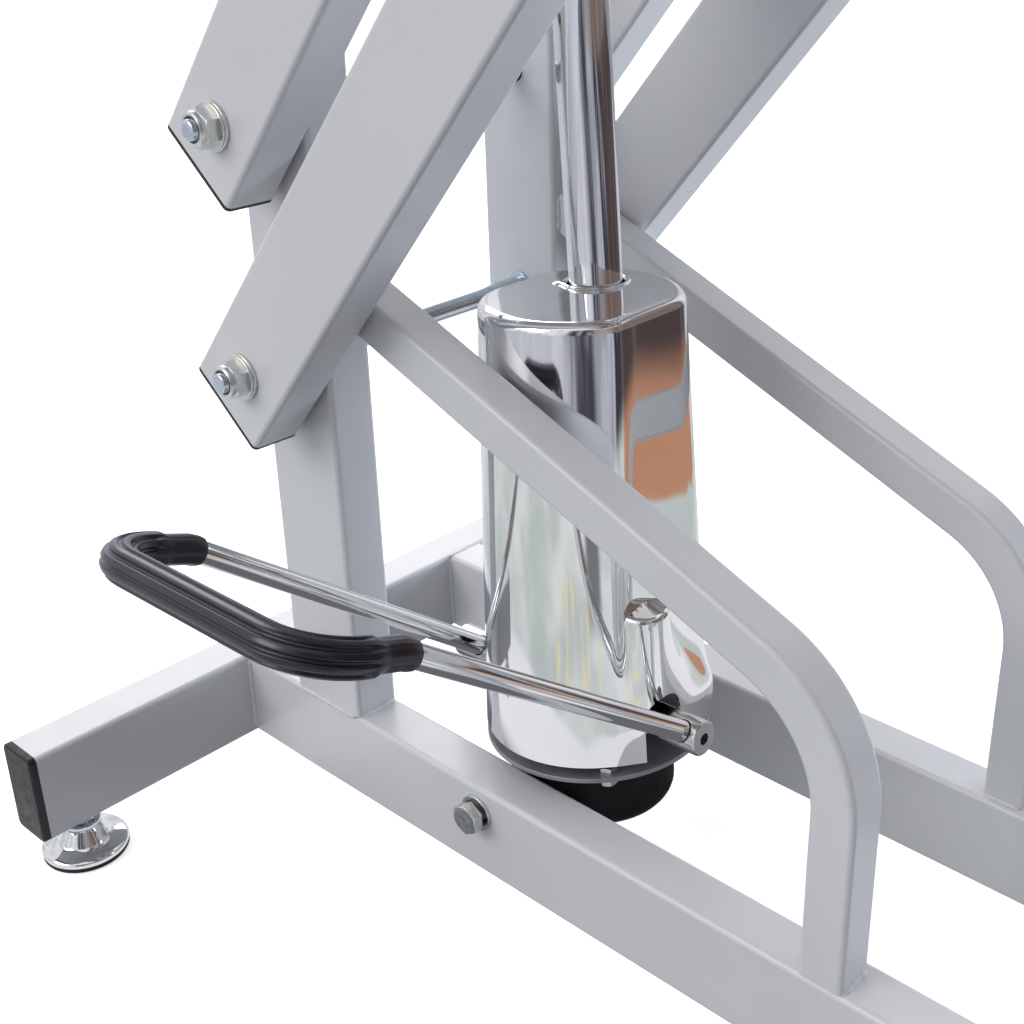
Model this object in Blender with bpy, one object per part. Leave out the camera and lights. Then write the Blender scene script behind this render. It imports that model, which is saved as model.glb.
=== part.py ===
"""Hydraulic grooming table: a tube base, a parallel-arm lift, a foot pump and a tabletop.

Metres, +Z up. The origin is on the floor under the middle of the tabletop.
+X runs along the base rails from the posts, and the pedal is on the -Y side.
"""
import math

import bmesh
import bpy
from mathutils import Matrix, Vector

GAP = 0.0003                       # between pieces that touch
NEAR, FAR = -1.0, 1.0              # the -Y side and the +Y side

# box tube
TALL, WIDE, WALL = 0.060, 0.030, 0.002
TUBE_CORNER = 0.003
BRACE_SIDE = 0.025

# base
RAIL_BOTTOM = 0.030
RAIL_TOP = RAIL_BOTTOM + TALL
RAIL_Y = 0.090                     # middle of a rail, post and bracket post
REAR_X, FRONT_X = -0.265, 0.455    # middles of the two cross tubes
CROSS_HALF = 0.255
CAP_THICK, ARM_CAP_THICK = 0.005, 0.0035
POST_X = -0.168
POST_TOP = 0.484
FOOT_INSET = 0.027
FOOT_RADIUS = 0.026

# brace
BRACE_X = 0.2001                   # middle of its upright leg
BRACE_SLOPE = math.radians(21.55)
BRACE_CORNER_Z = 0.2355            # where the middle lines of leg and slope cross
BRACE_BEND = 0.075

# lift arms
ARM_ANGLE = math.radians(50.0)
ARM_LENGTH = 0.550                 # between pivots
ARM_OVERHANG = 0.0306
ARM_Y = 0.124
LOW_PIVOT_Z, HIGH_PIVOT_Z = 0.3183, 0.4536
AXLE_RADIUS = 0.006
AXLE_HOLE = 0.0066
LUG_ALONG = 0.1845                 # rod pin, measured along the upper arm from its pivot
LUG_THICK = 0.008
LUG_Y = 0.0205
SLOT_BACK, SLOT_FRONT = 0.0125, 0.0024
SLOT_HALF = 0.0094
LIFT_TUBE_ALONG = 0.2395
LIFT_TUBE_SIDE = 0.030

# tabletop
TABLE_LENGTH, TABLE_WIDTH = 1.100, 0.600
FRAME_BOTTOM_ABOVE_PIVOT = 0.045
FRAME_HALF_LENGTH, FRAME_HALF_WIDTH = 0.470, 0.250
BOARD_THICK, MAT_THICK, TRIM_THICK = 0.018, 0.003, 0.002
TABLE_CORNER = 0.030

# pump, in its own frame: origin on the trunnion axis, +Z along the rod
PUMP_X, PUMP_Z = -0.0353, 0.0725
PUMP_LEAN = math.radians(-3.609)
ROD_X, ROD_RADIUS = 0.0188, 0.0148
ROD_PIN_H = 0.5223
PISTON_BOTTOM, PISTON_LENGTH = 0.190, 0.020
CYLINDER_OUTER, CYLINDER_INNER = 0.0255, 0.0215
CYLINDER_TOP = 0.270
COVER_TOP, COVER_BOTTOM, COVER_WALL = 0.293, 0.041, 0.0015
COVER_TOP_AT, COVER_BOTTOM_AT = (0.0266, -0.0200), (0.0248, -0.0255)
COVER_TOP_R, COVER_BOTTOM_R = 0.0555, 0.0653
COVER_TOP_FLAT, COVER_BOTTOM_FLAT = 0.0502, 0.0537
COVER_EDGE = 0.006                 # radius of the rounded top edge
BULGE_X, BULGE_RADIUS, BULGE_TOP = 0.078, 0.0142, 0.130
SLOT_WIDE, SLOT_CENTRE_H = 0.0125, 0.0675
FLANGE_AT, FLANGE_RADIUS = (0.0238, -0.024), 0.066
FLANGE_LOW, FLANGE_HIGH = 0.030, 0.033
BASE_AT, BASE_RADIUS, BASE_LOW = (0.0238, -0.024), 0.044, -0.020
BOSS_RADIUS, BOSS_HALF = 0.012, 0.0745
BOLT_RADIUS = 0.005

# pedal, in the pump's frame
SHAFT_Y, SHAFT_H, SHAFT_RADIUS = -0.041, 0.062, 0.010
SHAFT_REAR, SHAFT_FRONT = -0.0700, 0.1183
ROD_REAR, ROD_FRONT = -0.0500, 0.1083
PEDAL_ROD_RADIUS = 0.006
PEDAL_RISE = math.radians(36.4)
PEDAL_LEVEL = math.radians(19.5)
# how much steeper the rear leg stands than the front one
PEDAL_TWIST = math.radians(0.87)
PEDAL_REACH, PEDAL_LAST = 0.2325, 0.0509
PEDAL_CORNER = 0.0285
GRIP_RADIUS = 0.0092
PLUNGER_AT = (0.020, -0.062)
PLUNGER_RADIUS = 0.007
BARREL_RADIUS, BARREL_TOP = 0.0115, 0.036
SPRING_SEAT, SPRING_BORE = 0.028, 0.0095
NOSE_RADIUS, NOSE_DROP = 0.006, 0.004

PAINT = ("paint", (0.70, 0.71, 0.74), 0.35, 0.0)
CHROME = ("chrome", (0.85, 0.86, 0.88), 0.08, 1.0)
STEEL = ("steel", (0.60, 0.60, 0.61), 0.30, 1.0)
ZINC = ("zinc", (0.72, 0.75, 0.80), 0.25, 1.0)
RUBBER = ("rubber", (0.03, 0.03, 0.035), 0.55, 0.0)
PLASTIC = ("plastic", (0.04, 0.04, 0.045), 0.45, 0.0)
CASTING = ("casting", (0.02, 0.02, 0.02), 0.50, 0.0)
FLANGE_GREY = ("flange_grey", (0.35, 0.36, 0.38), 0.45, 0.3)
WOOD = ("wood", (0.55, 0.42, 0.28), 0.60, 0.0)


# ---------------------------------------------------------------- scene helpers

def clear_scene():
    for item in list(bpy.data.objects):
        bpy.data.objects.remove(item, do_unlink=True)


def material(spec):
    """The material of a (name, colour, roughness, metallic) tuple."""
    name, colour, roughness, metallic = spec
    found = bpy.data.materials.get(name)
    if found:
        return found
    made = bpy.data.materials.new(name)
    made.use_nodes = True
    shader = made.node_tree.nodes["Principled BSDF"]
    shader.inputs["Base Color"].default_value = (*colour, 1.0)
    shader.inputs["Roughness"].default_value = roughness
    shader.inputs["Metallic"].default_value = metallic
    return made


def add_object(name, bm, spec, parent=None, place=None):
    """One object from a bmesh; place is its matrix under its parent."""
    bmesh.ops.recalc_face_normals(bm, faces=bm.faces)
    mesh = bpy.data.meshes.new(name)
    bm.to_mesh(mesh)
    bm.free()
    mesh.shade_smooth()
    mesh.set_sharp_from_angle(angle=math.radians(35))
    piece = bpy.data.objects.new(name, mesh)
    bpy.context.scene.collection.objects.link(piece)
    if spec:
        mesh.materials.append(material(spec))
    piece.parent = parent
    if place is not None:
        piece.matrix_local = place
    return piece


def add_empty(name, location, rotation_y=0.0, parent=None):
    empty = bpy.data.objects.new(name, None)
    bpy.context.scene.collection.objects.link(empty)
    empty.parent = parent
    empty.location = location
    empty.rotation_euler = (0.0, rotation_y, 0.0)
    return empty


def boolean(piece, other, operation):
    """Cuts or joins with another object, which is then only a guide."""
    modifier = piece.modifiers.new(other.name, "BOOLEAN")
    modifier.operation = operation
    modifier.solver = "EXACT"
    modifier.object = other
    other.hide_render = True
    other.display_type = "WIRE"


# ---------------------------------------------------------------- shape helpers

def rounded_rectangle(width, height, corner, steps=2):
    """Points of a rounded rectangle round the origin, anticlockwise."""
    points = []
    for turn, (sx, sy) in enumerate(((1, 1), (-1, 1), (-1, -1), (1, -1))):
        cx, cy = sx * (width / 2 - corner), sy * (height / 2 - corner)
        for step in range(steps + 1):
            a = math.radians(90 * turn + 90 * step / steps)
            points.append((cx + corner * math.cos(a), cy + corner * math.sin(a)))
    return points


def circle(radius, sides, start=0.0):
    turns = (start + 2 * math.pi * i / sides for i in range(sides))
    return [(radius * math.cos(a), radius * math.sin(a)) for a in turns]


def loft(bm, rings, closed_ends=True):
    """Skins rings of equal size, given as lists of 3-D points."""
    rows = [[bm.verts.new(p) for p in ring] for ring in rings]
    count = len(rows[0])
    for low, high in zip(rows, rows[1:]):
        for i in range(count):
            j = (i + 1) % count
            bm.faces.new((low[i], low[j], high[j], high[i]))
    if closed_ends:
        bm.faces.new(list(reversed(rows[0])))
        bm.faces.new(rows[-1])
    return rows


def close_ring(bm, outer, inner):
    """Joins an outer and an inner loop at the end of a tube."""
    count = len(outer)
    for i in range(count):
        j = (i + 1) % count
        bm.faces.new((outer[i], outer[j], inner[j], inner[i]))


def tube_rings(bm, outer_rings, inner_rings):
    outer = loft(bm, outer_rings, closed_ends=False)
    inner = loft(bm, inner_rings, closed_ends=False)
    close_ring(bm, outer[0], inner[0])
    close_ring(bm, outer[-1], inner[-1])


def box_tube(name, width, height, start, end, spec, parent=None, place=None, wall=WALL):
    """Hollow box tube along its local X, width on Y and height on Z."""
    bm = bmesh.new()
    outer = rounded_rectangle(width, height, TUBE_CORNER)
    inner = rounded_rectangle(width - 2 * wall, height - 2 * wall, TUBE_CORNER - wall / 2)
    tube_rings(
        bm,
        [[(x, y, z) for y, z in outer] for x in (start, end)],
        [[(x, y, z) for y, z in inner] for x in (start, end)],
    )
    return add_object(name, bm, spec, parent, place)


def prism(name, outline, low, high, spec, parent=None, place=None):
    """A flat outline in XY, raised from low to high in Z."""
    bm = bmesh.new()
    loft(bm, [[(x, y, z) for x, y in outline] for z in (low, high)])
    return add_object(name, bm, spec, parent, place)


def turned(name, profile, sides, spec, parent=None, place=None):
    """A solid of revolution about local Z from (radius, z) pairs, bottom to top."""
    bm = bmesh.new()
    loft(bm, [[(x, y, z) for x, y in circle(radius, sides)] for radius, z in profile])
    return add_object(name, bm, spec, parent, place)


def turned_tube(name, outer, inner, sides, spec, parent=None, place=None):
    """A turned ring: outer and inner profiles, each bottom to top."""
    bm = bmesh.new()
    tube_rings(
        bm,
        [[(x, y, z) for x, y in circle(radius, sides)] for radius, z in outer],
        [[(x, y, z) for x, y in circle(radius, sides)] for radius, z in inner],
    )
    return add_object(name, bm, spec, parent, place)


def along(axis, at=(0.0, 0.0, 0.0)):
    """A matrix that lays local Z along +X or +Y, with its origin at a point."""
    turn = {"X": Matrix.Rotation(math.radians(90), 4, "Y"),
            "Y": Matrix.Rotation(math.radians(-90), 4, "X"),
            "Z": Matrix.Identity(4)}[axis]
    return Matrix.Translation(at) @ turn


def drill(piece, name, radius, axis, at, half, sides=16, parent=None):
    """Cuts a round hole, half its length to each side of a point."""
    cutter = turned(name, [(radius, -half), (radius, half)], sides, None, parent, along(axis, at))
    boolean(piece, cutter, "DIFFERENCE")


def fillet_path(corners, bends, steps):
    """Points along straight legs joined by round bends, one bend at each inner corner."""
    points = [Vector(corners[0])]
    for before, corner, after, bend in zip(corners, corners[1:], corners[2:], bends):
        corner = Vector(corner)
        back = (Vector(before) - corner).normalized()
        ahead = (Vector(after) - corner).normalized()
        half = back.angle(ahead) / 2
        reach = bend / math.tan(half)
        centre = corner + (back + ahead).normalized() * bend / math.sin(half)
        first = corner + back * reach - centre
        sweep = math.pi - 2 * half
        normal = first.cross(corner + ahead * reach - centre).normalized()
        for step in range(steps + 1):
            points.append(centre + Matrix.Rotation(sweep * step / steps, 3, normal) @ first)
    points.append(Vector(corners[-1]))
    return points


def path_frames(points, side):
    """A frame at each path point, square to the path, that never twists about it."""
    frames = []
    side = Vector(side)
    for i, point in enumerate(points):
        before = points[max(i - 1, 0)]
        after = points[min(i + 1, len(points) - 1)]
        ahead = (after - before).normalized()
        side = (side - ahead * side.dot(ahead)).normalized()
        frames.append((point, side, ahead.cross(side)))
    return frames


def sweep_rings(points, outline, side):
    return [[p + u * x + v * y for x, y in outline] for p, u, v in path_frames(points, side)]


# ---------------------------------------------------------------- base

def make_base():
    upright = Matrix.Rotation(math.radians(-90), 4, "Y")
    across = Matrix.Rotation(math.radians(90), 4, "Z")
    middle_z = RAIL_BOTTOM + TALL / 2
    for end, x in (("rear", REAR_X), ("front", FRONT_X)):
        place = Matrix.Translation((x, 0.0, middle_z)) @ across
        tube = box_tube(f"base_cross_tube_{end}", WIDE, TALL, -CROSS_HALF, CROSS_HALF, PAINT, None, place)
        for side, sign in (("near", NEAR), ("far", FAR)):
            at = (x, sign * (CROSS_HALF - FOOT_INSET), RAIL_BOTTOM)
            drill(tube, f"cut_foot_{end}_{side}", 0.0056, "Z", at, 0.006)
            make_tube_cap(f"base_cap_{end}_{side}", None, across, (x, sign * CROSS_HALF, middle_z),
                          sign, CAP_THICK)
            make_foot(f"{end}_{side}", at)
    rail_start = REAR_X + WIDE / 2 + GAP
    rail_end = FRONT_X - WIDE / 2 - GAP
    for side, sign in (("near", NEAR), ("far", FAR)):
        y = sign * RAIL_Y
        rail = box_tube(f"base_rail_{side}", WIDE, TALL, rail_start, rail_end, PAINT, None,
                        Matrix.Translation((0.0, y, middle_z)))
        drill(rail, f"cut_trunnion_{side}", BOLT_RADIUS + 0.0006, "Y", (PUMP_X, y, PUMP_Z), 0.02)
        make_trunnion_bolt(side, sign)
        # the tube's height lies along X and its length along Z
        place = Matrix.Translation((POST_X, y, 0.0)) @ upright
        post = box_tube(f"post_{side}", WIDE, TALL, RAIL_TOP + GAP, POST_TOP, PAINT, None, place)
        for level, z in (("low", LOW_PIVOT_Z), ("high", HIGH_PIVOT_Z)):
            drill(post, f"cut_post_{side}_{level}", AXLE_HOLE, "Y", (POST_X, y, z), 0.02)
        make_brace(side, sign)


def make_tube_cap(name, parent, turn, at, sign, thick):
    """A plastic plug: a cover plate over the tube's end and a shank inside it."""
    bm = bmesh.new()
    plate = rounded_rectangle(WIDE, TALL, TUBE_CORNER)
    shank = rounded_rectangle(WIDE - 2 * WALL - 0.0008, TALL - 2 * WALL - 0.0008, TUBE_CORNER - WALL / 2)
    rings = [
        [(sign * -0.012, y, z) for y, z in shank],
        [(sign * GAP, y, z) for y, z in shank],
        [(sign * GAP, y, z) for y, z in plate],
        [(sign * (thick - 0.001), y, z) for y, z in plate],
        [(sign * thick, y * 0.93, z * 0.97) for y, z in plate],
    ]
    loft(bm, rings)
    return add_object(name, bm, PLASTIC, parent, Matrix.Translation(at) @ turn)


def make_foot(name, at):
    """A chrome bell on a threaded stud, standing on a rubber pad."""
    x, y, top = at
    pad_high = 0.004
    bell = [(0.0225, pad_high + GAP), (FOOT_RADIUS - 0.0006, pad_high + GAP), (FOOT_RADIUS, 0.0065),
            (0.0215, 0.0105), (0.0105, 0.0155), (0.0085, 0.0185), (0.0085, 0.0290),
            (0.0050, 0.0290), (0.0050, top + 0.030)]
    turned(f"foot_{name}", bell, 24, CHROME, None, Matrix.Translation((x, y, 0.0)))
    pad = [(FOOT_RADIUS - 0.0015, 0.0), (FOOT_RADIUS - 0.0003, 0.001), (FOOT_RADIUS - 0.0003, pad_high)]
    turned(f"foot_pad_{name}", pad, 24, RUBBER, None, Matrix.Translation((x, y, 0.0)))


def make_brace(side, sign):
    """A square tube bent from an upright leg on the rail to a slope that meets the post."""
    y = sign * (RAIL_Y + WIDE / 2 - BRACE_SIDE / 2)
    post_face = POST_X + TALL / 2 + GAP
    meet_z = BRACE_CORNER_Z + (BRACE_X - post_face) * math.tan(BRACE_SLOPE)
    corners = [(BRACE_X, y, RAIL_TOP + GAP), (BRACE_X, y, BRACE_CORNER_Z), (post_face, y, meet_z)]
    points = fillet_path(corners, [BRACE_BEND], 8)
    bm = bmesh.new()
    outer = rounded_rectangle(BRACE_SIDE, BRACE_SIDE, TUBE_CORNER)
    bore = BRACE_SIDE - 2 * WALL
    inner = rounded_rectangle(bore, bore, TUBE_CORNER - WALL / 2)
    outer_rings = sweep_rings(points, outer, (0.0, 1.0, 0.0))
    inner_rings = sweep_rings(points, inner, (0.0, 1.0, 0.0))
    for rings in (outer_rings, inner_rings):
        # the upper end is cut upright, flat on the post
        slope = (points[-1] - points[-2]).normalized()
        rings[-1] = [p + slope * ((post_face - p.x) / slope.x) for p in rings[-1]]
    tube_rings(bm, outer_rings, inner_rings)
    add_object(f"brace_{side}", bm, PAINT)


def hexagon(across_flats, turn=0.0):
    return circle(across_flats / 2 / math.cos(math.radians(30)), 6, turn)


def joined(name, rings_list, spec, parent=None, place=None):
    """One solid from several overlapping lofts, joined by union."""
    first = None
    for index, rings in enumerate(rings_list):
        bm = bmesh.new()
        loft(bm, rings)
        shape = add_object(name if index == 0 else f"{name}_add_{index}", bm, spec, parent, place)
        if index == 0:
            first = shape
        else:
            boolean(first, shape, "UNION")
    return first


def disc_rings(radius, low, high, sides=24):
    return [[(x, y, z) for x, y in circle(radius, sides)] for z in (low, high)]


def hex_rings(across_flats, low, high):
    return [[(x, y, z) for x, y in hexagon(across_flats)] for z in (low, high)]


def make_trunnion_bolt(side, sign):
    """A hexagon bolt and washer on the rail's outer face, screwed into the pump's boss."""
    face = RAIL_Y + WIDE / 2 + GAP
    place = Matrix.Translation((PUMP_X, 0.0, PUMP_Z)) @ Matrix.Rotation(math.radians(-90 * sign), 4, "X")
    shapes = [
        disc_rings(BOLT_RADIUS, 0.0600, face + 0.002, 16),
        disc_rings(0.0108, face, face + 0.0022),
        hex_rings(0.017, face + 0.0020, face + 0.0086),
    ]
    joined(f"trunnion_bolt_{side}", shapes, ZINC, None, place)


# ---------------------------------------------------------------- lift linkage

def make_axle(name, x, z, reach, parent=None):
    """A long stud across the table with a washer and a flanged nut on each end."""
    face = reach
    shapes = [disc_rings(AXLE_RADIUS, -face - 0.0165, face + 0.0165, 16)]
    for sign in (NEAR, FAR):
        shapes.append(disc_rings(0.0128, sign * face, sign * (face + 0.0022)))
        shapes.append(disc_rings(0.0118, sign * (face + 0.002), sign * (face + 0.0045)))
        shapes.append(hex_rings(0.019, sign * (face + 0.0040), sign * (face + 0.0145)))
    for low, high in shapes[1:]:
        if low[0][2] > high[0][2]:
            low.reverse()
            high.reverse()
    return joined(name, shapes, ZINC, parent, along("Y", (x, 0.0, z)))


def make_arm(name, sign, parent):
    """An arm along the pivot empty's +X, with its two axle holes."""
    y = sign * ARM_Y
    arm = box_tube(name, WIDE, TALL, -ARM_OVERHANG, ARM_LENGTH + ARM_OVERHANG, PAINT, parent,
                   Matrix.Translation((0.0, y, 0.0)))
    for end, x in (("foot", 0.0), ("head", ARM_LENGTH)):
        drill(arm, f"cut_{name}_{end}", AXLE_HOLE, "Y", (x, y, 0.0), 0.02, 16, parent)


def make_lift():
    """Both pairs of arms, the lifting cross tube and the axles they turn on."""
    low = add_empty("lower_arm_pivot", (POST_X, 0.0, LOW_PIVOT_Z), -ARM_ANGLE)
    high = add_empty("upper_arm_pivot", (POST_X, 0.0, HIGH_PIVOT_Z), -ARM_ANGLE)
    straight = Matrix.Identity(4)
    for level, pivot in (("lower", low), ("upper", high)):
        for side, sign in (("near", NEAR), ("far", FAR)):
            make_arm(f"{level}_arm_{side}", sign, pivot)
            make_tube_cap(f"{level}_arm_cap_{side}", pivot, straight,
                          (-ARM_OVERHANG, sign * ARM_Y, 0.0), NEAR, ARM_CAP_THICK)
    make_lift_tube(high)
    face = ARM_Y + WIDE / 2 + GAP
    make_axle("lower_post_axle", POST_X, LOW_PIVOT_Z, face)
    make_axle("upper_post_axle", POST_X, HIGH_PIVOT_Z, face)
    rise = ARM_LENGTH * math.sin(ARM_ANGLE)
    table_x = POST_X + ARM_LENGTH * math.cos(ARM_ANGLE)
    make_axle("lower_table_axle", table_x, LOW_PIVOT_Z + rise, face)
    make_axle("upper_table_axle", table_x, HIGH_PIVOT_Z + rise, face)
    return table_x, LOW_PIVOT_Z + rise, HIGH_PIVOT_Z + rise


def slot_outline(back, front, half, steps=8):
    """A slot along X round the pin's place at the origin."""
    points = []
    for centre, start in ((front, -90), (-back, 90)):
        for step in range(steps + 1):
            a = math.radians(start + 180 * step / steps)
            points.append((centre + half * math.cos(a), half * math.sin(a)))
    return points


def make_lift_tube(pivot):
    """The cross tube between the upper arms, with two slotted lugs for the rod's pin."""
    half = ARM_Y - WIDE / 2 - GAP
    place = Matrix.Translation((LIFT_TUBE_ALONG, 0.0, 0.0)) @ Matrix.Rotation(math.radians(90), 4, "Z")
    tube = box_tube("lift_cross_tube", LIFT_TUBE_SIDE, LIFT_TUBE_SIDE, -half, half, PAINT, pivot, place)
    round_end = 0.021
    reach = LIFT_TUBE_ALONG - LUG_ALONG - LIFT_TUBE_SIDE / 2 + 0.001
    outline = [(reach, -LIFT_TUBE_SIDE / 2), (reach, LIFT_TUBE_SIDE / 2)]
    for step in range(9):
        a = math.radians(90 + 180 * step / 8)
        outline.append((-SLOT_BACK + 0.004 + round_end * math.cos(a), round_end * math.sin(a)))
    slot = slot_outline(SLOT_BACK, SLOT_FRONT, SLOT_HALF)
    for side, sign in (("near", NEAR), ("far", FAR)):
        # the plate's outline lies in the arm's XZ plane
        at = Matrix.Translation((LUG_ALONG, sign * LUG_Y, 0.0)) @ Matrix.Rotation(math.radians(90), 4, "X")
        lug = prism(f"lug_{side}", outline, -LUG_THICK / 2, LUG_THICK / 2, PAINT, pivot, at)
        boolean(tube, lug, "UNION")
        cut = prism(f"cut_slot_{side}", slot, -LUG_THICK, LUG_THICK, None, pivot, at)
        boolean(tube, cut, "DIFFERENCE")


# ---------------------------------------------------------------- tabletop

def table_outline(inset, steps=5):
    return rounded_rectangle(TABLE_LENGTH - 2 * inset, TABLE_WIDTH - 2 * inset,
                             TABLE_CORNER - inset, steps)


def make_tabletop(pivot_x, low_z, high_z):
    upright = Matrix.Rotation(math.radians(-90), 4, "Y")
    across = Matrix.Rotation(math.radians(90), 4, "Z")
    frame_bottom = high_z + FRAME_BOTTOM_ABOVE_PIVOT
    frame_top = frame_bottom + WIDE
    middle_z = frame_bottom + WIDE / 2
    for side, sign in (("near", NEAR), ("far", FAR)):
        y = sign * RAIL_Y
        place = Matrix.Translation((pivot_x, y, 0.0)) @ upright
        post = box_tube(f"table_bracket_{side}", WIDE, TALL, low_z - 0.0314, frame_bottom - GAP, PAINT,
                        None, place)
        for level, z in (("low", low_z), ("high", high_z)):
            drill(post, f"cut_bracket_{side}_{level}", AXLE_HOLE, "Y", (pivot_x, y, z), 0.02)
        # these tubes lie flat
        box_tube(f"table_rail_{side}", TALL, WIDE, -FRAME_HALF_LENGTH, FRAME_HALF_LENGTH, PAINT, None,
                 Matrix.Translation((0.0, y, middle_z)))
    for end, sign in (("rear", NEAR), ("front", FAR)):
        x = sign * (FRAME_HALF_LENGTH + WIDE / 2 + GAP)
        box_tube(f"table_cross_tube_{end}", WIDE, WIDE, -FRAME_HALF_WIDTH, FRAME_HALF_WIDTH, PAINT, None,
                 Matrix.Translation((x, 0.0, middle_z)) @ across)
    board_low = frame_top + GAP
    board_high = board_low + BOARD_THICK
    mat_high = board_high + GAP + MAT_THICK
    inset = TRIM_THICK + GAP
    prism("table_board", table_outline(inset), board_low, board_high, WOOD)
    prism("table_mat", table_outline(inset), board_high + GAP, mat_high, RUBBER)
    bm = bmesh.new()
    tube_rings(
        bm,
        [[(x, y, z) for x, y in table_outline(0.0)] for z in (board_low, mat_high - 0.0005)],
        [[(x, y, z) for x, y in table_outline(TRIM_THICK)] for z in (board_low, mat_high - 0.0005)],
    )
    add_object("table_edge_trim", bm, PLASTIC)


# ---------------------------------------------------------------- pump

def flatted_circle(centre, radius, flat, count=48):
    """A circle with a flat on its +X and -X sides."""
    cx, cy = centre
    return [(cx + max(-flat, min(flat, x)), cy + y) for x, y in circle(radius, count)]


def cover_outline(h, inset=0.0, extra=0.0):
    """The cover's outline at a height, with its slight taper."""
    t = (COVER_TOP - h) / (COVER_TOP - COVER_BOTTOM)
    centre = [top + (low - top) * t for top, low in zip(COVER_TOP_AT, COVER_BOTTOM_AT)]
    radius = COVER_TOP_R + (COVER_BOTTOM_R - COVER_TOP_R) * t - inset + extra
    flat = COVER_TOP_FLAT + (COVER_BOTTOM_FLAT - COVER_TOP_FLAT) * t - inset + extra
    return flatted_circle(centre, radius, flat)


def make_cover(pump):
    """A thin cowl, open below, with a rolled rod hole, a front bulge and two shaft slots."""

    def shell(name, inset, low, spec):
        rings = [[(x, y, low) for x, y in cover_outline(COVER_BOTTOM, inset)]]
        for step in range(5):
            a = math.radians(90 * step / 4)
            h = COVER_TOP - inset - COVER_EDGE * (1 - math.sin(a))
            ring = cover_outline(h, inset + COVER_EDGE * (1 - math.cos(a)))
            rings.append([(x, y, h) for x, y in ring])
        bm = bmesh.new()
        loft(bm, rings)
        return add_object(name, bm, spec, pump)

    def bulge(name, inset, low):
        back, radius = 0.020, BULGE_RADIUS - inset
        outline = [(-back, radius), (-back, -radius)]
        for step in range(9):
            a = math.radians(-90 + 180 * step / 8)
            outline.append((radius * math.cos(a), radius * math.sin(a)))
        place = Matrix.Translation((BULGE_X, SHAFT_Y, 0.0))
        return prism(name, outline, low, BULGE_TOP - inset, None, pump, place)

    cover = shell("pump_cover", 0.0, COVER_BOTTOM, CHROME)
    boolean(cover, bulge("cover_bulge", 0.0, COVER_BOTTOM), "UNION")
    boolean(cover, shell("cut_cover_inside", COVER_WALL, COVER_BOTTOM - 0.001, None), "DIFFERENCE")
    boolean(cover, bulge("cut_bulge_inside", COVER_WALL, COVER_BOTTOM - 0.001), "DIFFERENCE")
    collar = turned("cover_collar", [(0.0180, COVER_TOP - 0.001), (0.0180, COVER_TOP + 0.001),
                                     (0.0172, COVER_TOP + 0.002)], 32, None, pump,
                    Matrix.Translation((ROD_X, 0.0, 0.0)))
    boolean(cover, collar, "UNION")
    drill(cover, "cut_cover_rod", 0.0160, "Z", (ROD_X, 0.0, COVER_TOP), 0.01, 32, pump)
    # the arch outline's X is height and its Y is across the slot
    arch = [(-0.030, -SLOT_WIDE)]
    for step in range(9):
        a = math.radians(-90 + 180 * step / 8)
        arch.append((SLOT_WIDE * math.cos(a), SLOT_WIDE * math.sin(a)))
    arch.append((-0.030, SLOT_WIDE))
    for end, x in (("front", 0.090), ("rear", -0.045)):
        turn = Matrix.Rotation(math.radians(-90), 4, "Y")
        place = Matrix.Translation((x, SHAFT_Y, SLOT_CENTRE_H)) @ turn
        cut = prism(f"cut_slot_{end}", arch, -0.030, 0.030, None, pump, place)
        boolean(cover, cut, "DIFFERENCE")


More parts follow.
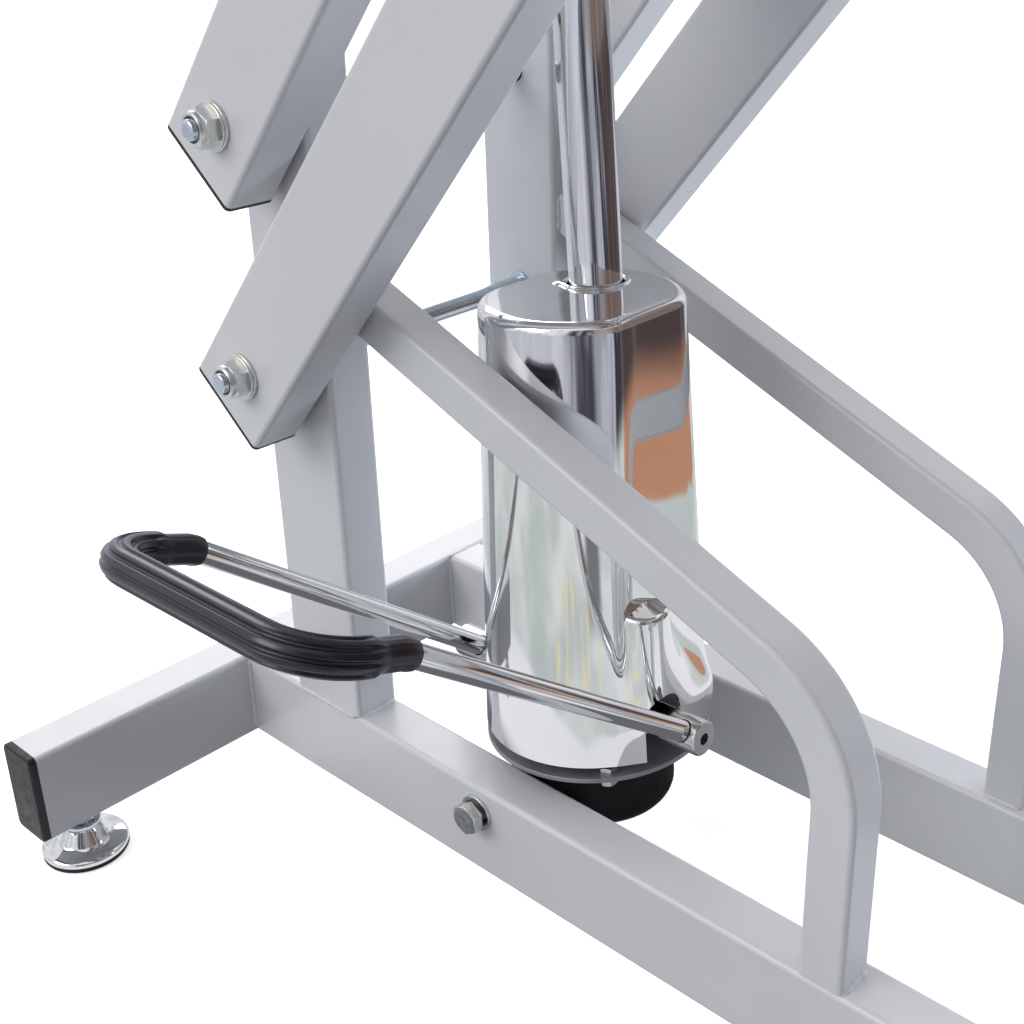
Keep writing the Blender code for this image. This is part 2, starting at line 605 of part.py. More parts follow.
def make_pump_body(pump):
    """The base casting on its trunnions, the flange plate, the cylinder and its gland."""
    bx, by = BASE_AT
    bowl = [(BASE_RADIUS - 0.013, BASE_LOW), (BASE_RADIUS - 0.0055, BASE_LOW + 0.0035),
            (BASE_RADIUS, BASE_LOW + 0.012), (BASE_RADIUS, FLANGE_LOW - GAP)]
    base = turned("pump_base", bowl, 32, CASTING, pump, Matrix.Translation((bx, by, 0.0)))
    bosses = turned("base_bosses", [(BOSS_RADIUS, -BOSS_HALF), (BOSS_RADIUS, BOSS_HALF)], 24, None, pump,
                    along("Y"))
    boolean(base, bosses, "UNION")
    boss = turned("plunger_boss", [(BARREL_RADIUS, 0.004), (BARREL_RADIUS, FLANGE_LOW - GAP)], 20, None, pump,
                  Matrix.Translation((*PLUNGER_AT, 0.0)))
    boolean(base, boss, "UNION")
    for side, sign in (("near", NEAR), ("far", FAR)):
        at = (0.0, sign * BOSS_HALF, 0.0)
        drill(base, f"cut_boss_{side}", BOLT_RADIUS + 0.0005, "Y", at, 0.0160, 16, pump)
    drill(base, "cut_base_plunger", PLUNGER_RADIUS + 0.0006, "Z", (*PLUNGER_AT, FLANGE_LOW), 0.0140, 16, pump)
    drill(base, "cut_spring_seat", SPRING_BORE, "Z", (*PLUNGER_AT, SPRING_SEAT + 0.010), 0.010, 16, pump)
    drill(base, "cut_base_oil", 0.018, "Z", (ROD_X, 0.0, FLANGE_LOW), 0.012, 24, pump)

    fx, fy = FLANGE_AT
    flange = turned("pump_flange", [(FLANGE_RADIUS, FLANGE_LOW), (FLANGE_RADIUS, FLANGE_HIGH)], 40,
                    FLANGE_GREY, pump, Matrix.Translation((fx, fy, 0.0)))
    ear = rounded_rectangle(0.034, 0.045, 0.012, 3)
    upright = Matrix.Rotation(math.radians(90), 4, "Z") @ Matrix.Rotation(math.radians(90), 4, "X")
    for end, x in (("rear", -0.010), ("front", 0.0550)):
        place = Matrix.Translation((x, SHAFT_Y, FLANGE_HIGH + 0.020)) @ upright
        boolean(flange, prism(f"flange_ear_{end}", ear, -0.006, 0.006, None, pump, place), "UNION")
    barrel = turned("flange_barrel", [(BARREL_RADIUS, FLANGE_LOW + 0.001), (BARREL_RADIUS, BARREL_TOP)], 20,
                    None, pump, Matrix.Translation((*PLUNGER_AT, 0.0)))
    boolean(flange, barrel, "UNION")
    drill(flange, "cut_flange_shaft", SHAFT_RADIUS + 0.0005, "X", (0.02, SHAFT_Y, SHAFT_H), 0.07, 24, pump)
    drill(flange, "cut_flange_spring", SPRING_BORE, "Z", (*PLUNGER_AT, FLANGE_HIGH), 0.010, 16, pump)
    drill(flange, "cut_flange_oil", 0.018, "Z", (ROD_X, 0.0, FLANGE_LOW), 0.012, 24, pump)

    at_rod = Matrix.Translation((ROD_X, 0.0, 0.0))
    low = FLANGE_HIGH + GAP
    turned_tube("pump_cylinder", [(CYLINDER_OUTER, low), (CYLINDER_OUTER, CYLINDER_TOP)],
                [(CYLINDER_INNER, low), (CYLINDER_INNER, CYLINDER_TOP)], 32, STEEL, pump, at_rod)
    plug = CYLINDER_INNER - 0.0004
    turned_tube("cylinder_gland",
                [(plug, CYLINDER_TOP - 0.012), (plug, CYLINDER_TOP + GAP),
                 (CYLINDER_OUTER, CYLINDER_TOP + GAP), (CYLINDER_OUTER, CYLINDER_TOP + 0.010),
                 (0.021, CYLINDER_TOP + 0.014)],
                [(ROD_RADIUS + 0.0005, CYLINDER_TOP - 0.012), (ROD_RADIUS + 0.0005, CYLINDER_TOP),
                 (ROD_RADIUS + 0.0005, CYLINDER_TOP + 0.005), (ROD_RADIUS + 0.0005, CYLINDER_TOP + 0.010),
                 (ROD_RADIUS + 0.0005, CYLINDER_TOP + 0.014)], 32, STEEL, pump, at_rod)


def make_piston(pump):
    """The polished rod with its eye, the piston below it and the pin through the eye."""
    slide = add_empty("piston_slide", (ROD_X, 0.0, 0.0), 0.0, pump)
    neck = 0.0075
    piston_top = PISTON_BOTTOM + PISTON_LENGTH
    rod = turned("piston_rod", [(neck, PISTON_BOTTOM + 0.002), (neck, piston_top + GAP),
                                (ROD_RADIUS, piston_top + GAP), (ROD_RADIUS, ROD_PIN_H)], 32, CHROME, slide)
    eye = turned("rod_eye", [(0.0175, -0.0148), (0.0175, 0.0148)], 24, None, slide,
                 along("Y", (0.0, 0.0, ROD_PIN_H)))
    boolean(rod, eye, "UNION")
    drill(rod, "cut_eye", 0.0075, "Y", (0.0, 0.0, ROD_PIN_H), 0.02, 20, slide)
    turned_tube("piston", [(CYLINDER_INNER - 0.0005, PISTON_BOTTOM), (CYLINDER_INNER - 0.0005, piston_top)],
                [(neck + 0.0003, PISTON_BOTTOM), (neck + 0.0003, piston_top)], 32, STEEL, slide)
    face = LUG_Y + LUG_THICK / 2 + 0.0004
    shapes = [
        disc_rings(0.0070, -face - 0.002, face + 0.002, 20),
        disc_rings(0.0150, face, face + 0.005),
        disc_rings(0.0150, -face - 0.005, -face),
    ]
    joined("rod_pin", shapes, ZINC, slide, along("Y", (0.0, 0.0, ROD_PIN_H)))


def make_pedal(pump):
    """The pedal shaft with its cam, the U-shaped rod and the rubber grip."""
    pedal = add_empty("pedal_pivot", (0.0, SHAFT_Y, SHAFT_H), 0.0, pump)

    def heading(angle):
        return Vector((0.0, -math.cos(angle), math.sin(angle)))

    front_rise, front_level = heading(PEDAL_RISE), heading(PEDAL_LEVEL)
    rear_rise, rear_level = heading(PEDAL_RISE + PEDAL_TWIST), heading(PEDAL_LEVEL + PEDAL_TWIST)
    shaft = turned("pedal_shaft", [(SHAFT_RADIUS - 0.001, SHAFT_REAR), (SHAFT_RADIUS, SHAFT_REAR + 0.001),
                                   (SHAFT_RADIUS, SHAFT_FRONT - 0.001), (SHAFT_RADIUS - 0.001, SHAFT_FRONT)],
                   24, STEEL, pedal, along("X"))
    for end, x, rise in (("rear", ROD_REAR, rear_rise), ("front", ROD_FRONT, front_rise)):
        hole = PEDAL_ROD_RADIUS + 0.0004
        place = Matrix.Translation((x, 0.0, 0.0)) @ rise.to_track_quat("Z", "X").to_matrix().to_4x4()
        cutter = turned(f"cut_shaft_{end}", [(hole, -0.02), (hole, 0.02)], 16, None, pedal, place)
        boolean(shaft, cutter, "DIFFERENCE")
    drill(shaft, "cut_set_screw", 0.0032, "X", (SHAFT_FRONT, 0.0, 0.0), 0.006, 12, pedal)

    corners = []
    for x, rise, level in ((ROD_FRONT, front_rise, front_level), (ROD_REAR, rear_rise, rear_level)):
        start = Vector((x, 0.0, 0.0))
        bend = start + rise * PEDAL_REACH
        leg = [start - rise * 0.0085, bend, bend + level * PEDAL_LAST]
        corners += leg if x == ROD_FRONT else leg[::-1]
    points = fillet_path(corners, [0.040, PEDAL_CORNER, PEDAL_CORNER, 0.040], 5)
    bm = bmesh.new()
    loft(bm, sweep_rings(points, circle(PEDAL_ROD_RADIUS, 12), (1.0, 0.0, 0.0)))
    add_object("pedal_rod", bm, CHROME, pedal)

    grip_corners = [corners[1] - front_rise * 0.0045, corners[1] + front_level * 0.002, corners[2],
                    corners[3], corners[4] + rear_level * 0.002, corners[4] - rear_rise * 0.0045]
    inner = fillet_path(grip_corners, [0.001, PEDAL_CORNER, PEDAL_CORNER, 0.001], 5)
    inner = inner[:1] + inner[6:-6] + inner[-1:]
    bm = bmesh.new()
    tube_rings(bm, sweep_rings(inner, circle(GRIP_RADIUS, 12), (1.0, 0.0, 0.0)),
               sweep_rings(inner, circle(PEDAL_ROD_RADIUS + 0.0008, 12), (1.0, 0.0, 0.0)))
    add_object("pedal_grip", bm, RUBBER, pedal)
    make_cam(pedal)


def make_cam(pedal):
    """A lever clamped on the shaft whose nose presses on the plunger."""
    reach = SHAFT_Y - PLUNGER_AT[1]
    outline = []
    for centre, drop, radius, start in ((0.0, 0.0, 0.0125, 90), (reach, NOSE_DROP, NOSE_RADIUS, -90)):
        for step in range(9):
            a = math.radians(start + 180 * step / 8)
            outline.append((centre + radius * math.cos(a), radius * math.sin(a) - drop))
    # the outline's X points to -Y and its Y points up
    turn = Matrix(((0.0, 0.0, -1.0), (-1.0, 0.0, 0.0), (0.0, 1.0, 0.0))).to_4x4()
    place = Matrix.Translation((PLUNGER_AT[0], 0.0, 0.0)) @ turn
    cam = prism("cam_lever", outline, -0.0055, 0.0055, STEEL, pedal, place)
    drill(cam, "cut_cam", SHAFT_RADIUS + 0.0003, "X", (PLUNGER_AT[0], 0.0, 0.0), 0.02, 24, pedal)


def make_plunger(pump):
    """The small pump plunger under the cam, and the spring that lifts it."""
    top = SHAFT_H - NOSE_RADIUS - NOSE_DROP - 0.0013
    shoulder = top - 0.005
    at = Matrix.Translation((*PLUNGER_AT, 0.0))
    turned("plunger", [(PLUNGER_RADIUS, 0.0290), (PLUNGER_RADIUS, shoulder), (0.0090, shoulder),
                       (0.0090, shoulder + 0.002), (0.0040, shoulder + 0.002), (0.0040, top)], 16, STEEL,
           pump, at)
    wire, coil = 0.0008, 0.0082
    low, high = SPRING_SEAT + wire + GAP, shoulder - wire - GAP
    turns, steps = 3, 14
    points = []
    for i in range(turns * steps + 1):
        a = 2 * math.pi * i / steps
        z = low + (high - low) * i / (turns * steps)
        points.append(Vector((coil * math.cos(a), coil * math.sin(a), z)))
    bm = bmesh.new()
    loft(bm, sweep_rings(points, circle(wire, 6), (0.0, 0.0, 1.0)))
    add_object("plunger_spring", bm, STEEL, pump, at)


def main():
    clear_scene()
    make_base()
    pivot_x, low_z, high_z = make_lift()
    make_tabletop(pivot_x, low_z, high_z)
    pump = add_empty("pump_trunnion", (PUMP_X, 0.0, PUMP_Z), PUMP_LEAN)
    make_pump_body(pump)
    make_cover(pump)
    make_piston(pump)
    make_pedal(pump)
    make_plunger(pump)


main()
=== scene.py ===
import math

import bmesh
import bpy
from mathutils import Matrix, Vector


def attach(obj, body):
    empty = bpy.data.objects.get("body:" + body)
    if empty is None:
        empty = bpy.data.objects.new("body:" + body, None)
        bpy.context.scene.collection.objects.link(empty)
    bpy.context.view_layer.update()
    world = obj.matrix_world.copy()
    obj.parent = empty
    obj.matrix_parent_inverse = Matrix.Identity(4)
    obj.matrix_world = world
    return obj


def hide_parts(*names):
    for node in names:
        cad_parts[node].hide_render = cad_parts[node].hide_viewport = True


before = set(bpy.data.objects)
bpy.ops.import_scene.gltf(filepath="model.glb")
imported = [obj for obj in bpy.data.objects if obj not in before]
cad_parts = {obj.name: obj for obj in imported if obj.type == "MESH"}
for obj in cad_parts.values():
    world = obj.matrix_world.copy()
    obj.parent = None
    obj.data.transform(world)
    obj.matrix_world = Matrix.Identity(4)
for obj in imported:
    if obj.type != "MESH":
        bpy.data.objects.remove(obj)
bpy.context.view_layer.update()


def shift(x, y, z):
    return Matrix.Translation((x, y, z))


def spin(degrees, axis):
    return Matrix.Rotation(math.radians(degrees), 4, axis)


# ---------------------------------------------------------------- sizes, as the frame has them

GAP = 0.0003
SIDES = (("near", -1.0), ("far", 1.0))

TALL, WIDE, WALL, TUBE_CORNER = 0.060, 0.030, 0.002, 0.0032
RAIL_BOTTOM, RAIL_TOP, RAIL_Y = 0.030, 0.090, 0.090
RAIL_MIDDLE = (RAIL_BOTTOM + RAIL_TOP) / 2
REAR_X, FRONT_X, CROSS_HALF = -0.265, 0.455, 0.255
CAP_THICK, ARM_CAP_THICK, PLAIN_CAP_THICK = 0.005, 0.0035, 0.003
POST_X, POST_TOP = -0.168, 0.484
FOOT_INSET = 0.027

BRACE_SIDE, BRACE_X, BRACE_SLOPE = 0.025, 0.2001, math.radians(21.55)
BRACE_CORNER_Z, BRACE_BEND = 0.2355, 0.075
BRACE_Y = RAIL_Y + WIDE / 2 - BRACE_SIDE / 2

ARM_ANGLE, ARM_LENGTH, ARM_OVERHANG, ARM_Y = math.radians(50.0), 0.550, 0.0306, 0.124
LOW_PIVOT_Z, HIGH_PIVOT_Z, AXLE_RADIUS, AXLE_HOLE = 0.3183, 0.4536, 0.006, 0.0068
LUG_ALONG, LUG_THICK, LUG_Y = 0.1845, 0.008, 0.0205
SLOT_BACK, SLOT_FRONT, SLOT_HALF = 0.0125, 0.0024, 0.0094
LIFT_TUBE_ALONG, LIFT_TUBE_SIDE = 0.2395, 0.030

TABLE_LENGTH, TABLE_WIDTH, TABLE_CORNER, BRACKET_DROP = 1.100, 0.600, 0.030, 0.0314
FRAME_HALF_LENGTH, FRAME_HALF_WIDTH = 0.470, 0.250
TRIM_THICK = 0.002
TABLE_X = POST_X + ARM_LENGTH * math.cos(ARM_ANGLE)
RISE = ARM_LENGTH * math.sin(ARM_ANGLE)
FRAME_BOTTOM = HIGH_PIVOT_Z + RISE + 0.045
FRAME_TOP = FRAME_BOTTOM + WIDE
BOARD_LOW = FRAME_TOP + GAP
BOARD_HIGH = BOARD_LOW + 0.018
MAT_HIGH = BOARD_HIGH + GAP + 0.003

TRUNNION_X, TRUNNION_Z, PUMP_LEAN = -0.0353, 0.0725, -3.609
PUMP = shift(TRUNNION_X, 0.0, TRUNNION_Z) @ spin(PUMP_LEAN, "Y")
ROD_X, ROD_RADIUS, ROD_PIN_H = 0.0188, 0.0148, 0.5223
COVER_TOP, COVER_BOTTOM, COVER_WALL, COVER_EDGE = 0.293, 0.041, 0.0015, 0.006
COVER_TOP_AT, COVER_BOTTOM_AT = (0.0266, -0.0200), (0.0248, -0.0255)
COVER_TOP_R, COVER_BOTTOM_R = 0.0555, 0.0653
COVER_TOP_FLAT, COVER_BOTTOM_FLAT = 0.0502, 0.0537
BULGE_X, BULGE_RADIUS, BULGE_TOP = 0.078, 0.0142, 0.130
SLOT_WIDE, SLOT_CENTRE_H = 0.0125, 0.0675
FLANGE_AT, FLANGE_RADIUS, FLANGE_LOW, FLANGE_HIGH = (0.0238, -0.024), 0.066, 0.030, 0.033
BASE_RADIUS, BASE_LOW, BOSS_RADIUS, BOSS_HALF = 0.044, -0.020, 0.012, 0.0745
SHAFT_Y, SHAFT_H, SHAFT_RADIUS, SHAFT_REAR, SHAFT_FRONT = -0.041, 0.062, 0.010, -0.0700, 0.1183
PEDAL = PUMP @ shift(0.0, SHAFT_Y, SHAFT_H)
ROD_REAR, ROD_FRONT, PEDAL_ROD_RADIUS = -0.0500, 0.1083, 0.006
PEDAL_RISE, PEDAL_LEVEL, PEDAL_TWIST = math.radians(36.4), math.radians(19.5), math.radians(0.87)
PEDAL_REACH, PEDAL_LAST, PEDAL_CORNER = 0.2325, 0.0509, 0.0285
GRIP_RADIUS, GRIP_END_RADIUS = 0.0092, 0.0079


# ---------------------------------------------------------------- materials


def add_noise(tree, where, scale, detail=3.0, stretch=None, distortion=0.0):
    """A noise texture in object coordinates, with its scale along each axis if it is stretched."""
    node = tree.nodes.new("ShaderNodeTexNoise")
    node.inputs["Scale"].default_value = scale
    node.inputs["Detail"].default_value = detail
    node.inputs["Distortion"].default_value = distortion
    if stretch:
        mapping = tree.nodes.new("ShaderNodeMapping")
        mapping.inputs["Scale"].default_value = stretch
        tree.links.new(where, mapping.inputs["Vector"])
        where = mapping.outputs["Vector"]
    tree.links.new(where, node.inputs["Vector"])
    return node.outputs["Fac"]


def look(name, metallic, roughness, tint, stops, spread=None, bumps=(), sockets=None):
    """A Principled material. tint is the noise behind the colour stops, spread a noise with the
    roughness it runs between, and each bump a noise with its strength and distance."""
    made = bpy.data.materials.new(name)
    made.use_nodes = True
    tree = made.node_tree
    shader = tree.nodes["Principled BSDF"]
    where = tree.nodes.new("ShaderNodeTexCoord").outputs["Object"]
    for socket, value in {"Metallic": metallic, "Roughness": roughness, **(sockets or {})}.items():
        shader.inputs[socket].default_value = value
    ramp = tree.nodes.new("ShaderNodeValToRGB")
    steps = ramp.color_ramp.elements
    while len(steps) < len(stops):
        steps.new(0.5)
    for step, (place, colour) in zip(steps, stops):
        step.position = place
        step.color = (*colour, 1.0)
    tree.links.new(add_noise(tree, where, *tint), ramp.inputs["Fac"])
    tree.links.new(ramp.outputs["Color"], shader.inputs["Base Color"])
    if spread:
        noise, low, high = spread
        node = tree.nodes.new("ShaderNodeMapRange")
        for socket, value in (("From Min", 0.3), ("From Max", 0.7), ("To Min", low), ("To Max", high)):
            node.inputs[socket].default_value = value
        tree.links.new(add_noise(tree, where, *noise), node.inputs["Value"])
        tree.links.new(node.outputs["Result"], shader.inputs["Roughness"])
    under = None
    for noise, strength, distance in bumps:
        node = tree.nodes.new("ShaderNodeBump")
        node.inputs["Strength"].default_value = strength
        node.inputs["Distance"].default_value = distance
        tree.links.new(add_noise(tree, where, *noise), node.inputs["Height"])
        if under:
            tree.links.new(under, node.inputs["Normal"])
        under = node.outputs["Normal"]
    tree.links.new(under, shader.inputs["Normal"])
    return made


def chrome(name, roughness, wave):
    """Polished plate: faint waves in the sheet and a light haze."""
    return look(name, 1.0, roughness, (14.0, 2.0),
                [(0.35, (0.740, 0.752, 0.760)), (0.65, (0.800, 0.806, 0.815))],
                ((35.0, 4.0), roughness * 0.7, roughness * 1.6), [((22.0, 1.0), 0.10, wave)])


def rubber(name, dark, light, low, high, grain, coat=0.0):
    return look(name, 0.0, 0.5, (40.0, 5.0), [(0.30, dark), (0.70, light)],
                ((70.0, 4.0), low, high), [((grain, 3.0), 0.20, 0.0002)],
                {"Specular IOR Level": 0.30, "Coat Weight": coat, "Coat Roughness": 0.25,
                 "Coat Tint": (0.90, 0.88, 1.0, 1.0), "Specular Tint": (0.84, 0.80, 1.0, 1.0)})


# Light grey powder coat: orange peel, faint mottling.
PAINT = look("paint", 0.0, 0.36, (9.0, 4.0),
             [(0.30, (0.560, 0.566, 0.590)), (0.70, (0.600, 0.606, 0.628))], ((60.0, 3.0), 0.30, 0.40),
             [((900.0, 2.0), 0.10, 0.0003), ((140.0, 2.0), 0.05, 0.0006)],
             {"Coat Weight": 0.25, "Coat Roughness": 0.12})
CHROME = chrome("chrome", 0.045, 0.0012)
ROD_CHROME = chrome("rod_chrome", 0.07, 0.0003)
# Turned and cold-drawn steel.
STEEL = look("steel", 1.0, 0.18, (30.0, 4.0),
             [(0.30, (0.470, 0.465, 0.460)), (0.70, (0.640, 0.635, 0.630))],
             ((160.0, 3.0, (1.0, 6.0, 6.0)), 0.12, 0.24), [((500.0, 2.0, (6.0, 1.0, 1.0)), 0.05, 0.0001)])
# Zinc plate that shifts between a blue and a straw tint.
ZINC = look("zinc", 1.0, 0.26, (110.0, 2.0),
            [(0.34, (0.560, 0.600, 0.620)), (0.50, (0.670, 0.680, 0.665)), (0.66, (0.740, 0.730, 0.690))],
            ((260.0, 3.0), 0.20, 0.38), [((800.0, 2.0), 0.08, 0.0002)])
BLUE_ZINC = look("blue_zinc", 1.0, 0.24, (60.0, 2.0),
                 [(0.35, (0.520, 0.600, 0.680)), (0.65, (0.600, 0.670, 0.730))],
                 ((260.0, 3.0), 0.18, 0.30), [((500.0, 2.0), 0.04, 0.0001)])
# Oiled spring washers and nylon inserts.
DARK_STEEL = look("dark_steel", 0.9, 0.45, (150.0, 2.0),
                  [(0.35, (0.050, 0.052, 0.055)), (0.65, (0.100, 0.102, 0.105))],
                  bumps=[((900.0, 2.0), 0.15, 0.0002)])
GRIP_RUBBER = rubber("grip_rubber", (0.003, 0.003, 0.004), (0.007, 0.007, 0.009), 0.26, 0.36, 500.0, 0.7)
FOOT_RUBBER = rubber("foot_rubber", (0.010, 0.010, 0.011), (0.022, 0.022, 0.024), 0.60, 0.75, 600.0)
MAT_RUBBER = rubber("mat_rubber", (0.018, 0.018, 0.020), (0.034, 0.034, 0.037), 0.55, 0.70, 420.0)
PLASTIC = look("black_plastic", 0.0, 0.42, (60.0, 4.0),
               [(0.30, (0.007, 0.007, 0.009)), (0.70, (0.015, 0.015, 0.018))],
               ((240.0, 3.0), 0.34, 0.52), [((1400.0, 2.0), 0.25, 0.0002)], {"Specular IOR Level": 0.35})
# Black enamel over a sand casting.
CASTING = look("casting", 0.0, 0.5, (50.0, 5.0),
               [(0.30, (0.003, 0.003, 0.004)), (0.70, (0.009, 0.009, 0.010))],
               ((120.0, 3.0), 0.40, 0.62), [((700.0, 3.0), 0.30, 0.0003), ((150.0, 2.0), 0.20, 0.0008)],
               {"Specular IOR Level": 0.25})
FLANGE_GREY = look("flange_grey", 0.35, 0.42, (45.0, 4.0),
                   [(0.30, (0.200, 0.208, 0.216)), (0.70, (0.290, 0.298, 0.306))],
                   ((130.0, 3.0), 0.32, 0.50), [((650.0, 3.0), 0.15, 0.0002)])
# Birch plywood: long grain along X with darker streaks.
GRAIN = (14.0, 8.0, (0.5, 9.0, 9.0), 0.6)
PLYWOOD = look("plywood", 0.0, 0.6, GRAIN,
               [(0.28, (0.300, 0.190, 0.105)), (0.50, (0.450, 0.310, 0.180)), (0.72, (0.560, 0.410, 0.260))],
               ((60.0, 4.0, (1.0, 8.0, 8.0)), 0.50, 0.70), [(GRAIN, 0.15, 0.0006)])


# ---------------------------------------------------------------- mesh helpers

def piece(name, bm, finish, body, replaces=(), place=None, angle=40.0):
    """One visible piece from a bmesh in local coordinates; place puts it in the frame."""
    bmesh.ops.recalc_face_normals(bm, faces=bm.faces)
    mesh = bpy.data.meshes.new(name)
    if place is not None:
        bm.transform(place)
    bm.to_mesh(mesh)
    bm.free()
    mesh.shade_smooth()
    mesh.set_sharp_from_angle(angle=math.radians(angle))
    mesh.materials.append(finish)
    made = bpy.data.objects.new(name, mesh)
    bpy.context.scene.collection.objects.link(made)
    weighted = made.modifiers.new("normals", "WEIGHTED_NORMAL")
    weighted.keep_sharp = True
    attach(made, body)
    if replaces:
        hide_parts(*replaces)
    return made


def arc(centre, radius, start, end, steps):
    """Points along an arc from one angle in degrees to another, both ends included."""
    turns = (math.radians(start + (end - start) * step / steps) for step in range(steps + 1))
    return [(centre[0] + radius * math.cos(a), centre[1] + radius * math.sin(a)) for a in turns]


def flat_ring(outline, z):
    return [(x, y, z) for x, y in outline]


def rounded_rectangle(width, height, corner, steps=6):
    """Points of a rounded rectangle round the origin, anticlockwise."""
    points = []
    for turn, (sx, sy) in enumerate(((1, 1), (-1, 1), (-1, -1), (1, -1))):
        centre = sx * (width / 2 - corner), sy * (height / 2 - corner)
        points += arc(centre, corner, 90 * turn, 90 * turn + 90, steps)
    return points


def circle(radius, sides, start=0.0):
    turns = (start + 2 * math.pi * i / sides for i in range(sides))
    return [(radius * math.cos(a), radius * math.sin(a)) for a in turns]


def loft(bm, rings, low_end=True, high_end=True, ring_closed=False):
    """Skins rings of equal size; ring_closed joins the last ring to the first."""
    rows = [[bm.verts.new(p) for p in ring] for ring in rings]
    count = len(rows[0])
    pairs = list(zip(rows, rows[1:])) + ([(rows[-1], rows[0])] if ring_closed else [])
    for low, high in pairs:
        for i in range(count):
            j = (i + 1) % count
            bm.faces.new((low[i], low[j], high[j], high[i]))
    if not ring_closed:
        if low_end:
            bm.faces.new(list(reversed(rows[0])))
        if high_end:
            bm.faces.new(rows[-1])
    return rows


def solid(rings, *ends, ring_closed=False):
    bm = bmesh.new()
    loft(bm, rings, *ends, ring_closed=ring_closed)
    return bm


def lathe(bm, profile, sides=48, at=(0.0, 0.0)):
    """A turned solid about a line along Z; a profile that comes back to its start makes a ring."""
    ring_closed = profile[0] == profile[-1]
    steps = profile[:-1] if ring_closed else profile
    loft(bm, [[(at[0] + x, at[1] + y, z) for x, y in circle(r, sides)] for r, z in steps],
         ring_closed=ring_closed)
    return bm


def turned(profile, sides=48, at=(0.0, 0.0)):
    return lathe(bmesh.new(), profile, sides, at)


def rounded_profile(radius, low, high, edge, steps=4):
    """A turned disc's profile with rounded rims."""
    centre = radius - edge
    return arc((centre, low + edge), edge, -90, 0, steps) + arc((centre, high - edge), edge, 0, 90, steps)


def along_y(x, z, sign=1.0):
    """Lays local Z along +Y or -Y, out from the middle plane, through a point."""
    return shift(x, 0.0, z) @ spin(-90 * sign, "X")


def box_tube(width, height, start, end):
    """Hollow box tube along its local X with softly rounded corners and open ends."""
    outer = rounded_rectangle(width, height, TUBE_CORNER)
    inner = rounded_rectangle(width - 2 * WALL, height - 2 * WALL, TUBE_CORNER - WALL / 2)
    rings = [[(start, y, z) for y, z in inner], [(start, y, z) for y, z in outer],
             [(end, y, z) for y, z in outer], [(end, y, z) for y, z in inner]]
    return solid(rings, ring_closed=True)


def holed(bm, cutters):
    """The shape with others cut out of it."""
    def as_object(shape):
        bmesh.ops.recalc_face_normals(shape, faces=shape.faces)
        mesh = bpy.data.meshes.new("cut")
        shape.to_mesh(mesh)
        shape.free()
        made = bpy.data.objects.new("cut", mesh)
        bpy.context.scene.collection.objects.link(made)
        return made
    body = as_object(bm)
    tools = [as_object(cutter) for cutter in cutters]
    for tool in tools:
        modifier = body.modifiers.new("cut", "BOOLEAN")
        modifier.operation = "DIFFERENCE"
        modifier.solver = "EXACT"
        modifier.object = tool
    evaluated = body.evaluated_get(bpy.context.evaluated_depsgraph_get())
    result = bmesh.new()
    result.from_mesh(evaluated.to_mesh())
    for item in [body, *tools]:
        bpy.data.objects.remove(item, do_unlink=True)
    return result


def cylinder_along(axis, radius, at, half, sides=32):
    bm = turned([(radius, -half), (radius, half)], sides)
    turn = Matrix.Rotation(math.radians(90), 4, "X" if axis == "Y" else "Y")
    bm.transform(Matrix.Translation(at) @ (Matrix.Identity(4) if axis == "Z" else turn))
    return bm


def axle_hole(along):
    return cylinder_along("Y", AXLE_HOLE, (along, 0.0, 0.0), WIDE)


def fillet_path(corners, bends, steps):
    """Points along straight legs joined by round bends, one bend at each inner corner."""
    points = [Vector(corners[0])]
    for before, corner, after, bend in zip(corners, corners[1:], corners[2:], bends):
        corner = Vector(corner)
        back = (Vector(before) - corner).normalized()
        ahead = (Vector(after) - corner).normalized()
        half = back.angle(ahead) / 2
        reach = bend / math.tan(half)
        centre = corner + (back + ahead).normalized() * bend / math.sin(half)
        first = corner + back * reach - centre
        normal = first.cross(corner + ahead * reach - centre).normalized()
        for step in range(steps + 1):
            turn = Matrix.Rotation((math.pi - 2 * half) * step / steps, 3, normal)
            points.append(centre + turn @ first)
    points.append(Vector(corners[-1]))
    return points


def spaced(points, spacing):
    """The same path with a point at least every spacing."""
    path = [points[0]]
    for before, after in zip(points, points[1:]):
        count = max(1, math.ceil((after - before).length / spacing))
        path += [before.lerp(after, i / count) for i in range(1, count + 1)]
    return path


def path_frames(points, side, closed=False):
    """A frame at each path point, square to the path, that never twists about it."""
    frames = []
    side = Vector(side)
    last = len(points) - 1
    for i, point in enumerate(points):
        before = points[i - 1] if closed or i else point
        after = points[0] if closed and i == last else points[min(i + 1, last)]
        ahead = (after - before).normalized()
        side = (side - ahead * side.dot(ahead)).normalized()
        frames.append((point, side, ahead.cross(side)))
    return frames


def sweep(bm, points, outlines, side):
    """Sweeps one outline, or one for each point, along a path."""
    if isinstance(outlines[0][0], float):
        outlines = [outlines] * len(points)
    rings = [[p + u * x + v * y for x, y in outline]
             for (p, u, v), outline in zip(path_frames(points, side), outlines)]
    loft(bm, rings)
    return rings


def wobble(t, seed):
    """A smooth, repeatable value from -1 to 1."""
    return (math.sin(t * 1.7 + seed * 2.3) + math.sin(t * 0.61 + seed * 5.1) + math.sin(t * 3.1 + seed)) / 3


